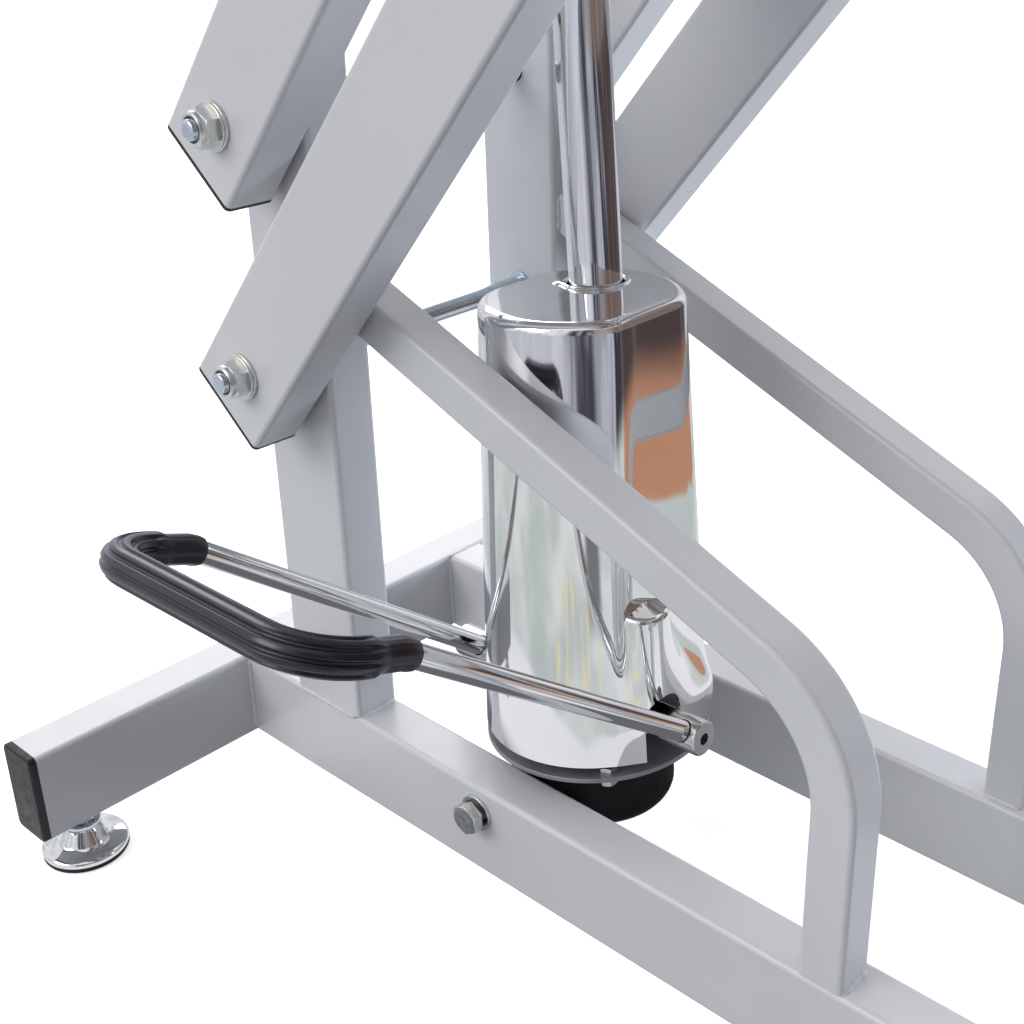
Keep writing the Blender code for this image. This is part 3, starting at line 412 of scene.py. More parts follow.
def weld(bm, corners, seed, radius=0.0020, closed=False):
    """A rippled bead under the paint along straight runs."""
    corners = [Vector(c) for c in corners]
    if closed:
        corners.append(corners[0])
    points = spaced(corners, 0.0013)
    up = (corners[1] - corners[0]).orthogonal()
    if closed:
        points.pop()
    rings = []
    for i, (p, u, v) in enumerate(path_frames(points, up, closed)):
        ripple = 1.0 + 0.12 * math.cos(i * math.pi / 1.5) + 0.16 * wobble(i * 0.35, seed)
        ends = 1.0 if closed else min(1.0, 0.35 + 0.25 * min(i, len(points) - 1 - i))
        size = radius * ripple * ends
        rings.append([p + u * x + v * y for x, y in circle(size, 8)])
    loft(bm, rings, ring_closed=closed)


def painted(name, bm, body, place=None):
    """The skin of a painted part."""
    piece(f"{name}_skin", bm, PAINT, body, (name,), place)


# ---------------------------------------------------------------- fasteners

def hexagon_rings(bm, across_flats, low, high, chamfer_low=False):
    """A hexagon head with the round chamfer that turning leaves on its corners."""
    sides = 72
    flat = across_flats / 2
    radii = [flat / math.cos((2 * math.pi * i / sides + math.pi / 6) % (math.pi / 3) - math.pi / 6)
             for i in range(sides)]
    turns = circle(1.0, sides)

    def ring(height, sign):
        return [(x * r, y * r, height - sign * max(0.0, r - flat * 0.985) * 0.62)
                for (x, y), r in zip(turns, radii)]

    rings = []
    if chamfer_low:
        rings += [[(x * flat * 0.94, y * flat * 0.94, low) for x, y in turns], ring(low, -1.0)]
    else:
        rings += [[(x * r, y * r, low) for (x, y), r in zip(turns, radii)]]
    rings += [ring(high, 1.0), [(x * flat * 0.94, y * flat * 0.94, high) for x, y in turns]]
    loft(bm, rings)


def threaded(bm, radius, low, high, pitch=0.00175):
    """A stud's end with its thread as turned grooves and a domed tip."""
    profile = [(radius * 0.92, low)]
    count = int((high - low - 0.0012) / pitch)
    for i in range(count):
        z = low + pitch * i
        profile += [(radius * 0.93, z + pitch * 0.15), (radius, z + pitch * 0.45), (radius, z + pitch * 0.6),
                    (radius * 0.93, z + pitch * 0.9)]
    profile += [(radius * 0.90, high - 0.0010), (radius * 0.80, high - 0.0004), (radius * 0.5, high)]
    lathe(bm, profile, 32)


def pivot_fastener(name, body, x, z, sign, face):
    """Washer, nylon-insert nut and stud end on one side of a pivot."""
    place = along_y(x, z, sign)
    piece(f"{name}_washer", turned(rounded_profile(0.0130, face, face + 0.0021, 0.0006), 56),
          ZINC, body, place=place)
    nut = bmesh.new()
    low = face + 0.0021
    lathe(nut, rounded_profile(0.0125, low, low + 0.0014, 0.0005), 56)
    hexagon_rings(nut, 0.0190, low + 0.0013, low + 0.0088)
    collar = ((0.0093, 0.0080), (0.0092, 0.0098), (0.0088, 0.0110), (0.0080, 0.0116), (0.0070, 0.0114),
              (0.0066, 0.0106))
    lathe(nut, [(radius, low + rise) for radius, rise in collar], 56)
    piece(f"{name}_nut", nut, ZINC, body, place=place)
    piece(f"{name}_insert", turned(rounded_profile(0.0068, low + 0.0100, low + 0.0112, 0.0003), 40),
          DARK_STEEL, body, place=place)
    stud = bmesh.new()
    threaded(stud, AXLE_RADIUS, low + 0.0100, low + 0.0142)
    piece(f"{name}_stud", stud, BLUE_ZINC, body, place=place)


def make_axle(name, body, x, z):
    face = ARM_Y + WIDE / 2
    bar = turned([(AXLE_RADIUS, -face - 0.012), (AXLE_RADIUS, face + 0.012)], 32)
    piece(name, bar, BLUE_ZINC, body, (name,), along_y(x, z))
    for side, sign in SIDES:
        pivot_fastener(f"{name}_{side}", body, x, z, sign, face)
        inner, outer = RAIL_Y + WIDE / 2, ARM_Y - WIDE / 2
        spacer = turned(rounded_profile(0.0125, inner + 0.0002, outer - 0.0002, 0.0005))
        piece(f"{name}_{side}_spacer", spacer, ZINC, body, place=along_y(x, z, sign))


# ---------------------------------------------------------------- base

def tube_cap(name, body, replaces, place, thick):
    """A plastic plug, its plate pillowed at the rim; local X points out of the tube."""
    rings = []
    for width, height, x in ((WIDE - 2 * WALL - 0.0006, TALL - 2 * WALL - 0.0006, -0.012),
                             (WIDE - 2 * WALL - 0.0006, TALL - 2 * WALL - 0.0006, GAP),
                             (WIDE, TALL, GAP),
                             (WIDE, TALL, thick - 0.0012),
                             (WIDE - 0.0006, TALL - 0.0006, thick - 0.0006),
                             (WIDE - 0.0016, TALL - 0.0016, thick - 0.0002),
                             (WIDE - 0.0030, TALL - 0.0030, thick)):
        corner = TUBE_CORNER if width > WIDE - 2 * WALL else TUBE_CORNER - WALL / 2
        rings.append([(x, y, z) for y, z in rounded_rectangle(width, height, corner)])
    piece(name, solid(rings), PLASTIC, body, replaces, place)


def make_base_tubes():
    rail_start, rail_end = REAR_X + WIDE / 2 + GAP, FRONT_X - WIDE / 2 - GAP
    quarter = spin(90, "Z")
    for end, x in (("rear", REAR_X), ("front", FRONT_X)):
        name = f"base_cross_tube_{end}"
        place = shift(x, 0.0, RAIL_MIDDLE) @ quarter
        painted(name, box_tube(WIDE, TALL, -CROSS_HALF, CROSS_HALF), "base", place)
        for side, sign in SIDES:
            turn = spin(90 * sign, "Z")
            at = shift(x, sign * CROSS_HALF, RAIL_MIDDLE) @ turn
            cap = f"base_cap_{end}_{side}"
            tube_cap(f"{cap}_skin", "base", (cap,), at, CAP_THICK)
            make_foot(f"{end}_{side}", x, sign * (CROSS_HALF - FOOT_INSET))
    upright = spin(-90, "Y")
    for side, sign in SIDES:
        y = sign * RAIL_Y
        place = shift(0.0, y, RAIL_MIDDLE)
        painted(f"base_rail_{side}", box_tube(WIDE, TALL, rail_start, rail_end), "base", place)
        holes = [axle_hole(z) for z in (LOW_PIVOT_Z, HIGH_PIVOT_Z)]
        post = holed(box_tube(WIDE, TALL, RAIL_TOP + GAP, POST_TOP), holes)
        painted(f"post_{side}", post, "base", shift(POST_X, y, 0.0) @ upright)
        top = shift(POST_X, y, POST_TOP) @ upright
        tube_cap(f"post_cap_{side}", "base", (), top, PLAIN_CAP_THICK)
        make_brace(side, sign)
        make_trunnion_bolt(side, sign)


def make_brace(side, sign):
    """A square tube bent from an upright leg on the rail to a slope that meets the post."""
    y = sign * BRACE_Y
    post_face = POST_X + TALL / 2 + GAP
    meet_z = BRACE_CORNER_Z + (BRACE_X - post_face) * math.tan(BRACE_SLOPE)
    corners = [(BRACE_X, y, RAIL_TOP + GAP), (BRACE_X, y, BRACE_CORNER_Z), (post_face, y, meet_z)]
    points = fillet_path(corners, [BRACE_BEND], 28)
    outline = rounded_rectangle(BRACE_SIDE, BRACE_SIDE, TUBE_CORNER)
    rings = [[p + u * a + v * b for a, b in outline]
             for p, u, v in path_frames(points, (0.0, 1.0, 0.0))]
    slope = (points[-1] - points[-2]).normalized()
    rings[-1] = [p + slope * ((post_face - p.x) / slope.x) for p in rings[-1]]
    painted(f"brace_{side}", solid(rings), "base")


def make_foot(name, x, y):
    """A turned chrome bell with its lock nut and stud, on a rubber pad."""
    place = shift(x, y, 0.0)
    body = f"foot_{name}"
    bell = turned([(0.0210, 0.0040), (0.0246, 0.0036), (0.0257, 0.0039), (0.0260, 0.0048), (0.0261, 0.0058),
                   (0.0258, 0.0067), (0.0250, 0.0075), (0.0232, 0.0081), (0.0205, 0.0088), (0.0180, 0.0097),
                   (0.0167, 0.0104), (0.0157, 0.0114), (0.0148, 0.0130), (0.0137, 0.0152), (0.0124, 0.0176),
                   (0.0112, 0.0193), (0.0105, 0.0202), (0.0098, 0.0206), (0.0060, 0.0206)], 72)
    piece(f"{body}_bell", bell, CHROME, body, (body,), place)
    piece(f"{body}_ring", turned(rounded_profile(0.0112, 0.0206, 0.0234, 0.0007), 48),
          BLUE_ZINC, body, place=place)
    stud = bmesh.new()
    threaded(stud, 0.0050, 0.0200, 0.0600, 0.0015)
    hexagon_rings(stud, 0.0150, 0.0234, 0.0298, True)
    piece(f"{body}_stud", stud, ZINC, body, place=place)
    pad = turned([(0.0242, 0.0), (0.0252, 0.0006), (0.0258, 0.0016), (0.0257, 0.0032), (0.0248, 0.0040),
                  (0.0205, 0.0043)], 72)
    piece(f"foot_pad_{name}_skin", pad, FOOT_RUBBER, body, (f"foot_pad_{name}",), place)


def make_trunnion_bolt(side, sign):
    """Washer, spring washer and hexagon bolt on the rail's outer face."""
    face = RAIL_Y + WIDE / 2
    place = along_y(TRUNNION_X, TRUNNION_Z, sign)
    name = f"trunnion_bolt_{side}"
    piece(f"{name}_washer", turned(rounded_profile(0.0112, face, face + 0.0020, 0.0005), 56),
          ZINC, "base", place=place)
    spring = bmesh.new()
    turns = 40
    for_coil = []
    for i in range(turns + 1):
        a = math.radians(8 + 344 * i / turns)
        for_coil.append(Vector((0.0073 * math.cos(a), 0.0073 * math.sin(a),
                                face + 0.0031 + 0.0006 * (i / turns - 0.5))))
    sweep(spring, for_coil, rounded_rectangle(0.0022, 0.0030, 0.0003, 2), (0.0, 0.0, 1.0))
    piece(f"{name}_spring_washer", spring, DARK_STEEL, "base", place=place)
    bolt = turned([(0.0049, 0.0600), (0.0049, face + 0.0046)], 32)
    hexagon_rings(bolt, 0.0170, face + 0.0044, face + 0.0108)
    piece(f"{name}_head", bolt, ZINC, "base", (name,), place)


def make_axle_rings():
    """Collars on the lower post axle, against the inner faces of the posts."""
    for side, sign in SIDES:
        face = RAIL_Y - WIDE / 2
        ring = turned(rounded_profile(0.0088, face - 0.0016, face - 0.0001, 0.0005))
        place = along_y(POST_X, LOW_PIVOT_Z, sign)
        piece(f"lower_post_axle_{side}_ring", ring, BLUE_ZINC, "base", place=place)


def make_base_welds():
    """Beads where the posts, braces and cross tubes meet the rails."""
    bm = bmesh.new()
    seed = 0.0

    def run(start, end, radius=0.0020, step=1.0):
        nonlocal seed
        seed += step
        weld(bm, [start, end], seed, radius)

    post_face = POST_X + TALL / 2
    meet_z = BRACE_CORNER_Z + (BRACE_X - post_face) * math.tan(BRACE_SLOPE)
    half = BRACE_SIDE / 2 / math.cos(BRACE_SLOPE)
    for _, sign in SIDES:
        y_in, y_out = sign * (RAIL_Y - WIDE / 2), sign * (RAIL_Y + WIDE / 2)
        brace_in = sign * (BRACE_Y - BRACE_SIDE / 2)
        start, end = y_in + sign * 0.002, y_out - sign * 0.002
        brace_start = brace_in + sign * 0.002
        for x in (POST_X - TALL / 2, post_face):
            run((x, start, RAIL_TOP), (x, end, RAIL_TOP))
        for y in (y_in, y_out):
            low = RAIL_TOP - 0.0006
            run((POST_X - TALL / 2 + 0.004, y, low), (post_face - 0.004, y, low), 0.0012)
        for x in (BRACE_X - BRACE_SIDE / 2, BRACE_X + BRACE_SIDE / 2):
            run((x, brace_start, RAIL_TOP), (x, end, RAIL_TOP), 0.0018)
        run((BRACE_X - 0.011, brace_in, RAIL_TOP), (BRACE_X + 0.011, brace_in, RAIL_TOP), 0.0018, 0.0)
        low, high = meet_z - half, meet_z + half
        run((post_face, brace_in, high - 0.002), (post_face, brace_in, low + 0.002), 0.0018)
        for z in (high, low):
            run((post_face, brace_start, z), (post_face, end, z), 0.0018, 0.0)
        for x in (REAR_X + WIDE / 2, FRONT_X - WIDE / 2):
            for y in (y_in, y_out):
                run((x, y, RAIL_BOTTOM + 0.003), (x, y, RAIL_TOP - 0.003))
            run((x, y_in, RAIL_TOP - 0.0004), (x, y_out, RAIL_TOP - 0.0004), 0.0014, 0.0)
    piece("base_welds", bm, PAINT, "base", angle=180.0)


# ---------------------------------------------------------------- lift linkage

def arm_frame(pivot_z):
    return shift(POST_X, 0.0, pivot_z) @ Matrix.Rotation(-ARM_ANGLE, 4, "Y")


def make_arms():
    for level, pivot_z in (("lower", LOW_PIVOT_Z), ("upper", HIGH_PIVOT_Z)):
        body = f"{level}_arms"
        pivot = arm_frame(pivot_z)
        for side, sign in SIDES:
            place = pivot @ shift(0.0, sign * ARM_Y, 0.0)
            name = f"{level}_arm_{side}"
            holes = [axle_hole(x) for x in (0.0, ARM_LENGTH)]
            tube = holed(box_tube(WIDE, TALL, -ARM_OVERHANG, ARM_LENGTH + ARM_OVERHANG), holes)
            painted(name, tube, body, place)
            flip = shift(-ARM_OVERHANG, 0.0, 0.0) @ Matrix.Rotation(math.pi, 4, "Z")
            cap = f"{level}_arm_cap_{side}"
            tube_cap(f"{cap}_skin", body, (cap,), place @ flip, ARM_CAP_THICK)
            head = place @ shift(ARM_LENGTH + ARM_OVERHANG, 0.0, 0.0)
            tube_cap(f"{level}_arm_head_cap_{side}", body, (), head, ARM_CAP_THICK)
    make_lift_tube()
    make_axle("lower_post_axle", "base", POST_X, LOW_PIVOT_Z)
    make_axle("upper_post_axle", "base", POST_X, HIGH_PIVOT_Z)
    make_axle("lower_table_axle", "tabletop", TABLE_X, LOW_PIVOT_Z + RISE)
    make_axle("upper_table_axle", "tabletop", TABLE_X, HIGH_PIVOT_Z + RISE)


def make_lift_tube():
    """The cross tube between the upper arms with its two slotted lugs and their welds."""
    half = ARM_Y - WIDE / 2 - GAP
    pivot = arm_frame(HIGH_PIVOT_Z)
    quarter = spin(90, "Z")
    place = pivot @ shift(LIFT_TUBE_ALONG, 0.0, 0.0) @ quarter
    tube = box_tube(LIFT_TUBE_SIDE, LIFT_TUBE_SIDE, -half, half)
    painted("lift_cross_tube", tube, "upper_arms", place)
    round_end, centre = 0.021, -SLOT_BACK + 0.004
    reach = LIFT_TUBE_ALONG - LUG_ALONG - LIFT_TUBE_SIDE / 2 + 0.0005
    outline = [(reach, -LIFT_TUBE_SIDE / 2), (reach, LIFT_TUBE_SIDE / 2)]
    outline += arc((centre, 0.0), round_end, 90, 270, 24)
    slot = arc((SLOT_FRONT, 0.0), SLOT_HALF, -90, 90, 12) + arc((-SLOT_BACK, 0.0), SLOT_HALF, 90, 270, 12)
    upright = spin(90, "X")
    for side, sign in SIDES:
        edge = 0.0006
        rings = []
        for shrink, z in ((edge, -LUG_THICK / 2), (0.0, -LUG_THICK / 2 + edge),
                          (0.0, LUG_THICK / 2 - edge), (edge, LUG_THICK / 2)):
            rings.append([(x * (1 - shrink / 0.03), y * (1 - shrink / 0.02), z) for x, y in outline])
        cutter = solid([flat_ring(slot, z) for z in (-LUG_THICK, LUG_THICK)])
        at = pivot @ shift(LUG_ALONG, sign * LUG_Y, 0.0) @ upright
        piece(f"lift_lug_{side}", holed(solid(rings), [cutter]), PAINT, "upper_arms", place=at)
    bm = bmesh.new()
    face = LIFT_TUBE_ALONG - LIFT_TUBE_SIDE / 2
    for _, sign in SIDES:
        for y in (LUG_Y - LUG_THICK / 2, LUG_Y + LUG_THICK / 2):
            weld(bm, [(face, sign * y, -0.013), (face, sign * y, 0.013)], 31.0 + y * 1000 * sign, 0.0016)
        for x in (face, face + LIFT_TUBE_SIDE):
            weld(bm, [(x, sign * half, -0.013), (x, sign * half, 0.013)], 37.0 + x * 100, 0.0018)
    piece("lift_tube_welds", bm, PAINT, "upper_arms", place=pivot, angle=180.0)


# ---------------------------------------------------------------- tabletop

def table_outline(inset, steps=10):
    return rounded_rectangle(TABLE_LENGTH - 2 * inset, TABLE_WIDTH - 2 * inset, TABLE_CORNER - inset, steps)


def make_table_frame():
    upright = spin(-90, "Y")
    quarter = spin(90, "Z")
    middle = FRAME_BOTTOM + WIDE / 2
    low, high = LOW_PIVOT_Z + RISE, HIGH_PIVOT_Z + RISE
    bm = bmesh.new()
    for side, sign in SIDES:
        y = sign * RAIL_Y
        holes = [axle_hole(z) for z in (low, high)]
        bracket = holed(box_tube(WIDE, TALL, low - BRACKET_DROP, FRAME_BOTTOM - GAP), holes)
        place = shift(TABLE_X, y, 0.0) @ upright
        painted(f"table_bracket_{side}", bracket, "tabletop", place)
        foot = shift(TABLE_X, y, low - BRACKET_DROP) @ spin(90, "Y")
        tube_cap(f"table_bracket_cap_{side}", "tabletop", (), foot, PLAIN_CAP_THICK)
        rail = box_tube(TALL, WIDE, -FRAME_HALF_LENGTH, FRAME_HALF_LENGTH)
        painted(f"table_rail_{side}", rail, "tabletop", shift(0.0, y, middle))
        for x in (TABLE_X - TALL / 2, TABLE_X + TALL / 2):
            weld(bm, [(x, y - 0.013, FRAME_BOTTOM), (x, y + 0.013, FRAME_BOTTOM)], 41.0 + x * 10)
        for other in (y - WIDE / 2, y + WIDE / 2):
            weld(bm, [(TABLE_X - 0.028, other, FRAME_BOTTOM), (TABLE_X + 0.028, other, FRAME_BOTTOM)],
                 43.0 + other * 10)
        for x in (-FRAME_HALF_LENGTH, FRAME_HALF_LENGTH):
            weld(bm, [(x, y - 0.028, FRAME_BOTTOM), (x, y + 0.028, FRAME_BOTTOM)], 47.0 + x)
    for end, sign in (("rear", -1.0), ("front", 1.0)):
        x = sign * (FRAME_HALF_LENGTH + WIDE / 2 + GAP)
        name = f"table_cross_tube_{end}"
        tube = box_tube(WIDE, WIDE, -FRAME_HALF_WIDTH, FRAME_HALF_WIDTH)
        painted(name, tube, "tabletop", shift(x, 0.0, middle) @ quarter)
        for side, out in SIDES:
            rings = []
            for size, depth in ((0.0254, -0.010), (0.0254, GAP), (0.0300, GAP), (0.0300, 0.0020),
                                (0.0290, 0.0028), (0.0270, 0.0032)):
                corner = TUBE_CORNER if size > 0.026 else 0.0022
                rings.append([(depth, a, b) for a, b in rounded_rectangle(size, size, corner)])
            at = shift(x, out * FRAME_HALF_WIDTH, middle) @ spin(90 * out, "Z")
            piece(f"table_end_cap_{end}_{side}", solid(rings), PLASTIC, "tabletop", place=at)
    piece("table_welds", bm, PAINT, "tabletop", angle=180.0)


def make_tabletop():
    inset = TRIM_THICK + GAP
    board = solid([flat_ring(table_outline(inset + rim), z)
                   for rim, z in ((0.0008, BOARD_LOW), (0.0, BOARD_LOW + 0.0008), (0.0, BOARD_HIGH))])
    piece("table_board_skin", board, PLYWOOD, "tabletop", ("table_board",))

    rib_high, pitch = 0.0006, 0.0090
    face = MAT_HIGH - rib_high
    mat = solid([flat_ring(table_outline(inset + rim), z)
                 for rim, z in ((0.0, BOARD_HIGH + GAP), (0.0, face - 0.0006), (0.0006, face))])
    count = int((TABLE_WIDTH / 2 - 0.014) / pitch)
    for i in range(-count, count + 1):
        y = i * pitch
        edge = TABLE_WIDTH / 2 - abs(y)
        cut = TABLE_CORNER - math.sqrt(max(0.0, TABLE_CORNER ** 2 - max(0.0, TABLE_CORNER - edge) ** 2))
        reach = TABLE_LENGTH / 2 - 0.012 - cut
        profile = [(-0.0022, -0.0004), (-0.0016, 0.0004), (-0.0010, rib_high), (0.0010, rib_high),
                   (0.0016, 0.0004), (0.0022, -0.0004)]
        rings = [[(x, y + a * end, face + b * end) for a, b in profile]
                 for x, end in ((-reach, 0.5), (-reach + 0.002, 1.0), (reach - 0.002, 1.0), (reach, 0.5))]
        loft(mat, rings)
    piece("table_mat_skin", mat, MAT_RUBBER, "tabletop", ("table_mat",))

    low, high = BOARD_LOW, MAT_HIGH - 0.0005
    rings = [flat_ring(table_outline(out), z)
             for out, z in ((TRIM_THICK, low), (0.0006, low), (0.0, low + 0.0006), (0.0, low + 0.0070),
                            (0.0005, low + 0.0076), (0.0005, low + 0.0130), (0.0, low + 0.0136),
                            (0.0, high - 0.0008), (0.0008, high), (TRIM_THICK, high))]
    trim = solid(rings, ring_closed=True)
    piece("table_edge_trim_skin", trim, PLASTIC, "tabletop", ("table_edge_trim",))


# ---------------------------------------------------------------- pump

def blend_low(a, b, soft):
    """The smaller of two lengths, with a soft change from one to the other."""
    h = max(soft - abs(a - b), 0.0) / soft
    return min(a, b) - h * h * soft / 4


def cover_middle(h):
    """How far down the cover a height is, from 0 to 1, and the middle of its outline there."""
    t = (COVER_TOP - h) / (COVER_TOP - COVER_BOTTOM)
    return t, *(top + (low - top) * t for top, low in zip(COVER_TOP_AT, COVER_BOTTOM_AT))


def cover_distance(x, y, h, bulge_inset):
    """How far a point lies outside the cover: a flatted circle, and the bulge below its ledge."""
    t, cx, cy = cover_middle(h)
    round_part = math.hypot(x - cx, y - cy) - (COVER_TOP_R + (COVER_BOTTOM_R - COVER_TOP_R) * t)
    flat_part = abs(x - cx) - (COVER_TOP_FLAT + (COVER_BOTTOM_FLAT - COVER_TOP_FLAT) * t)
    body = -blend_low(-round_part, -flat_part, 0.0035)
    if bulge_inset is None:
        return body
    drop = max(0.0, min(1.0, (BULGE_TOP - h) / (BULGE_TOP - 0.062)))
    radius = BULGE_RADIUS - bulge_inset
    across = y - SHAFT_Y
    if across > 0:
        across *= radius / (radius + 0.030 * drop ** 1.7)
    bulge = math.hypot(x - BULGE_X, across) - radius
    return blend_low(body, bulge, 0.0006 + 0.016 * drop)


def cover_ring(h, inset=0.0, bulge_inset=None, sides=300):
    """The cover's outline at a height, found along rays from its middle."""
    _, cx, cy = cover_middle(h)
    points = []
    for dx, dy in circle(1.0, sides, math.pi / sides):
        near, far = 0.030, 0.090
        for _ in range(22):
            middle = (near + far) / 2
            outside = cover_distance(cx + middle * dx, cy + middle * dy, h, bulge_inset) + inset > 0
            near, far = (near, middle) if outside else (middle, far)
        points.append((cx + near * dx, cy + near * dy, h))
    return points


def collar_ring(radius, h, pinch=0.0, sides=300):
    """A circle round the rod, drawn out to a point on one side."""
    points = []
    for x, y in circle(1.0, sides, math.pi / sides):
        off = math.degrees(math.atan2(y, x) - math.radians(-145))
        off = (off + 180) % 360 - 180
        reach = radius + pinch * math.exp(-(off / 13) ** 2)
        points.append((ROD_X + reach * x, reach * y, h))
    return points


def make_cover():
    """The chrome cowl: rounded top edge, rolled collar, front bulge and two shaft slots."""
    edge = 0.0032
    rings = []
    for i in range(22):
        h = COVER_BOTTOM + (BULGE_TOP - edge - COVER_BOTTOM) * i / 21
        rings.append(cover_ring(h, 0.0, 0.0))
    for step in range(1, 7):
        a = math.radians(90 * step / 6)
        rings.append(cover_ring(BULGE_TOP - edge * (1 - math.sin(a)), 0.0, edge * (1 - math.cos(a))))
    for shrink, rise in ((0.0080, 0.0010), (0.0115, 0.0018), (0.0138, 0.0026)):
        rings.append(cover_ring(BULGE_TOP + rise, 0.0, shrink))
    rings.append(cover_ring(BULGE_TOP + 0.0030))
    low, high = BULGE_TOP + 0.0060, COVER_TOP - COVER_EDGE
    rings += [cover_ring(low + (high - low) * i / 14) for i in range(15)]
    for step in range(1, 9):
        a = math.radians(90 * step / 8)
        rings.append(cover_ring(high + COVER_EDGE * math.sin(a), COVER_EDGE * (1 - math.cos(a))))
    rim, start = rings[-1], collar_ring(0.0200, COVER_TOP, 0.0050)
    for t in (0.3, 0.6, 0.85, 1.0):
        rings.append([tuple(Vector(p).lerp(Vector(q), t)) for p, q in zip(rim, start)])
    for radius, rise, pinch in ((0.0191, 0.0003, 0.0046), (0.0185, 0.0010, 0.0040), (0.0179, 0.0016, 0.0030),
                                (0.0172, 0.0018, 0.0018), (0.0164, 0.0014, 0.0008), (0.0158, 0.0006, 0.0),
                                (0.0156, -0.0025, 0.0), (0.0165, -0.0028, 0.0), (0.0180, -0.0020, 0.0)):
        rings.append(collar_ring(radius, COVER_TOP + rise, pinch))
    rings.append([(x, y, COVER_TOP - COVER_WALL) for x, y, _ in cover_ring(COVER_TOP, COVER_EDGE)])
    for h in (high, 0.200, BULGE_TOP - COVER_WALL):
        rings.append(cover_ring(h, COVER_WALL))
    rings.append(cover_ring(BULGE_TOP - COVER_WALL - 0.0002, COVER_WALL, edge - COVER_WALL))
    for h in (BULGE_TOP - edge, 0.115, 0.100, 0.085, 0.070, 0.055, COVER_BOTTOM):
        rings.append(cover_ring(h, COVER_WALL, 0.0))
    body = solid(rings, ring_closed=True)

    def slot(x):
        arch = [(-SLOT_WIDE, COVER_BOTTOM - 0.01), *arc((0.0, SLOT_CENTRE_H), SLOT_WIDE, 180, 0, 32),
                (SLOT_WIDE, COVER_BOTTOM - 0.01)]
        return solid([[(x + reach, SHAFT_Y + y, h) for y, h in arch] for reach in (-0.030, 0.030)])

    piece("pump_cover_skin", holed(body, [slot(0.090), slot(-0.045)]), CHROME, "pump", ("pump_cover",), PUMP,
          angle=32.0)


def make_pump_bottom():
    """The black casting with its trunnion bosses, the flange plate and its four bolts."""
    bx, by = FLANGE_AT
    profile = [(0.004, BASE_LOW), (BASE_RADIUS - 0.014, BASE_LOW)]
    profile += [(BASE_RADIUS - 0.014 + 0.014 * math.sin(a), BASE_LOW + 0.013 * (1 - math.cos(a)))
                for a in (math.radians(90 * i / 8) for i in range(1, 9))]
    profile += [(BASE_RADIUS, 0.020), (BASE_RADIUS - 0.0005, 0.024), (BASE_RADIUS - 0.0015, FLANGE_LOW)]
    piece("pump_base_bowl", turned(profile, 72, (bx, by)), CASTING, "pump", ("pump_base",), PUMP)
    for side, sign in SIDES:
        boss = turned(rounded_profile(BOSS_RADIUS, 0.010, BOSS_HALF, 0.0012), 48)
        turn = spin(-90 * sign, "X")
        piece(f"pump_boss_{side}", boss, CASTING, "pump", place=PUMP @ turn)
    plate = turned(rounded_profile(FLANGE_RADIUS, FLANGE_LOW, FLANGE_HIGH, 0.0007), 96, (bx, by))
    piece("pump_flange_plate", plate, FLANGE_GREY, "pump", ("pump_flange",), PUMP)
    upright = spin(90, "Z") @ spin(90, "X")
    for end, x in (("rear", -0.010), ("front", 0.0550)):
        ear = solid([flat_ring(rounded_rectangle(0.034, 0.045, 0.012, 8), z) for z in (-0.006, 0.006)])
        drop = SHAFT_H - (FLANGE_HIGH + 0.020)
        hole = turned([(SHAFT_RADIUS + 0.0005, -0.01), (SHAFT_RADIUS + 0.0005, 0.01)], 40, (0.0, drop))
        at = PUMP @ shift(x, SHAFT_Y, FLANGE_HIGH + 0.020) @ upright
        piece(f"pump_ear_{end}", holed(ear, [hole]), FLANGE_GREY, "pump", place=at)
    for index, turn in enumerate((-43.0, 47.0, 137.0, -133.0)):
        a = math.radians(turn)
        at = PUMP @ shift(bx + 0.058 * math.cos(a), by + 0.058 * math.sin(a), 0.0)
        bolt = bmesh.new()
        hexagon_rings(bolt, 0.0100, FLANGE_HIGH, FLANGE_HIGH + 0.0042)
        lathe(bolt, rounded_profile(0.0062, FLANGE_LOW - 0.0014, FLANGE_LOW, 0.0003), 32)
        hexagon_rings(bolt, 0.0090, FLANGE_LOW - 0.0050, FLANGE_LOW - 0.0013, True)
        piece(f"flange_bolt_{index + 1}", bolt, ZINC, "pump", place=at)


def make_piston_rod():
    rod = turned([(0.0075, 0.192), (0.0075, 0.2103), (ROD_RADIUS - 0.0004, 0.2103), (ROD_RADIUS, 0.2108),
                  (ROD_RADIUS, 0.300), (ROD_RADIUS, 0.400), (ROD_RADIUS, ROD_PIN_H - 0.012)],
                 72, (ROD_X, 0.0))
    piece("piston_rod_skin", rod, ROD_CHROME, "lift_rod", ("piston_rod",), PUMP)
    eye = turned(rounded_profile(0.0175, -0.0148, 0.0148, 0.0008), 64)
    hole = cylinder_along("Z", 0.0075, (0.0, 0.0, 0.0), 0.03)
    at = PUMP @ shift(ROD_X, 0.0, ROD_PIN_H) @ spin(-90, "X")
    piece("rod_eye_skin", holed(eye, [hole]), STEEL, "lift_rod", place=at)
    face = LUG_Y + LUG_THICK / 2 + 0.0004
    pin = turned([(0.0070, -face - 0.002), (0.0070, face + 0.002)], 40)
    for sign in (-1.0, 1.0):
        low, high = sorted((sign * face, sign * (face + 0.0015)))
        lathe(pin, rounded_profile(0.0150, low, high, 0.0004), 48)
        low, high = sorted((sign * (face + 0.0015), sign * (face + 0.005)))
        lathe(pin, rounded_profile(0.0115, low, high, 0.0006), 48)
    piece("rod_pin_skin", pin, ZINC, "lift_rod", ("rod_pin",), at)


# ---------------------------------------------------------------- pedal

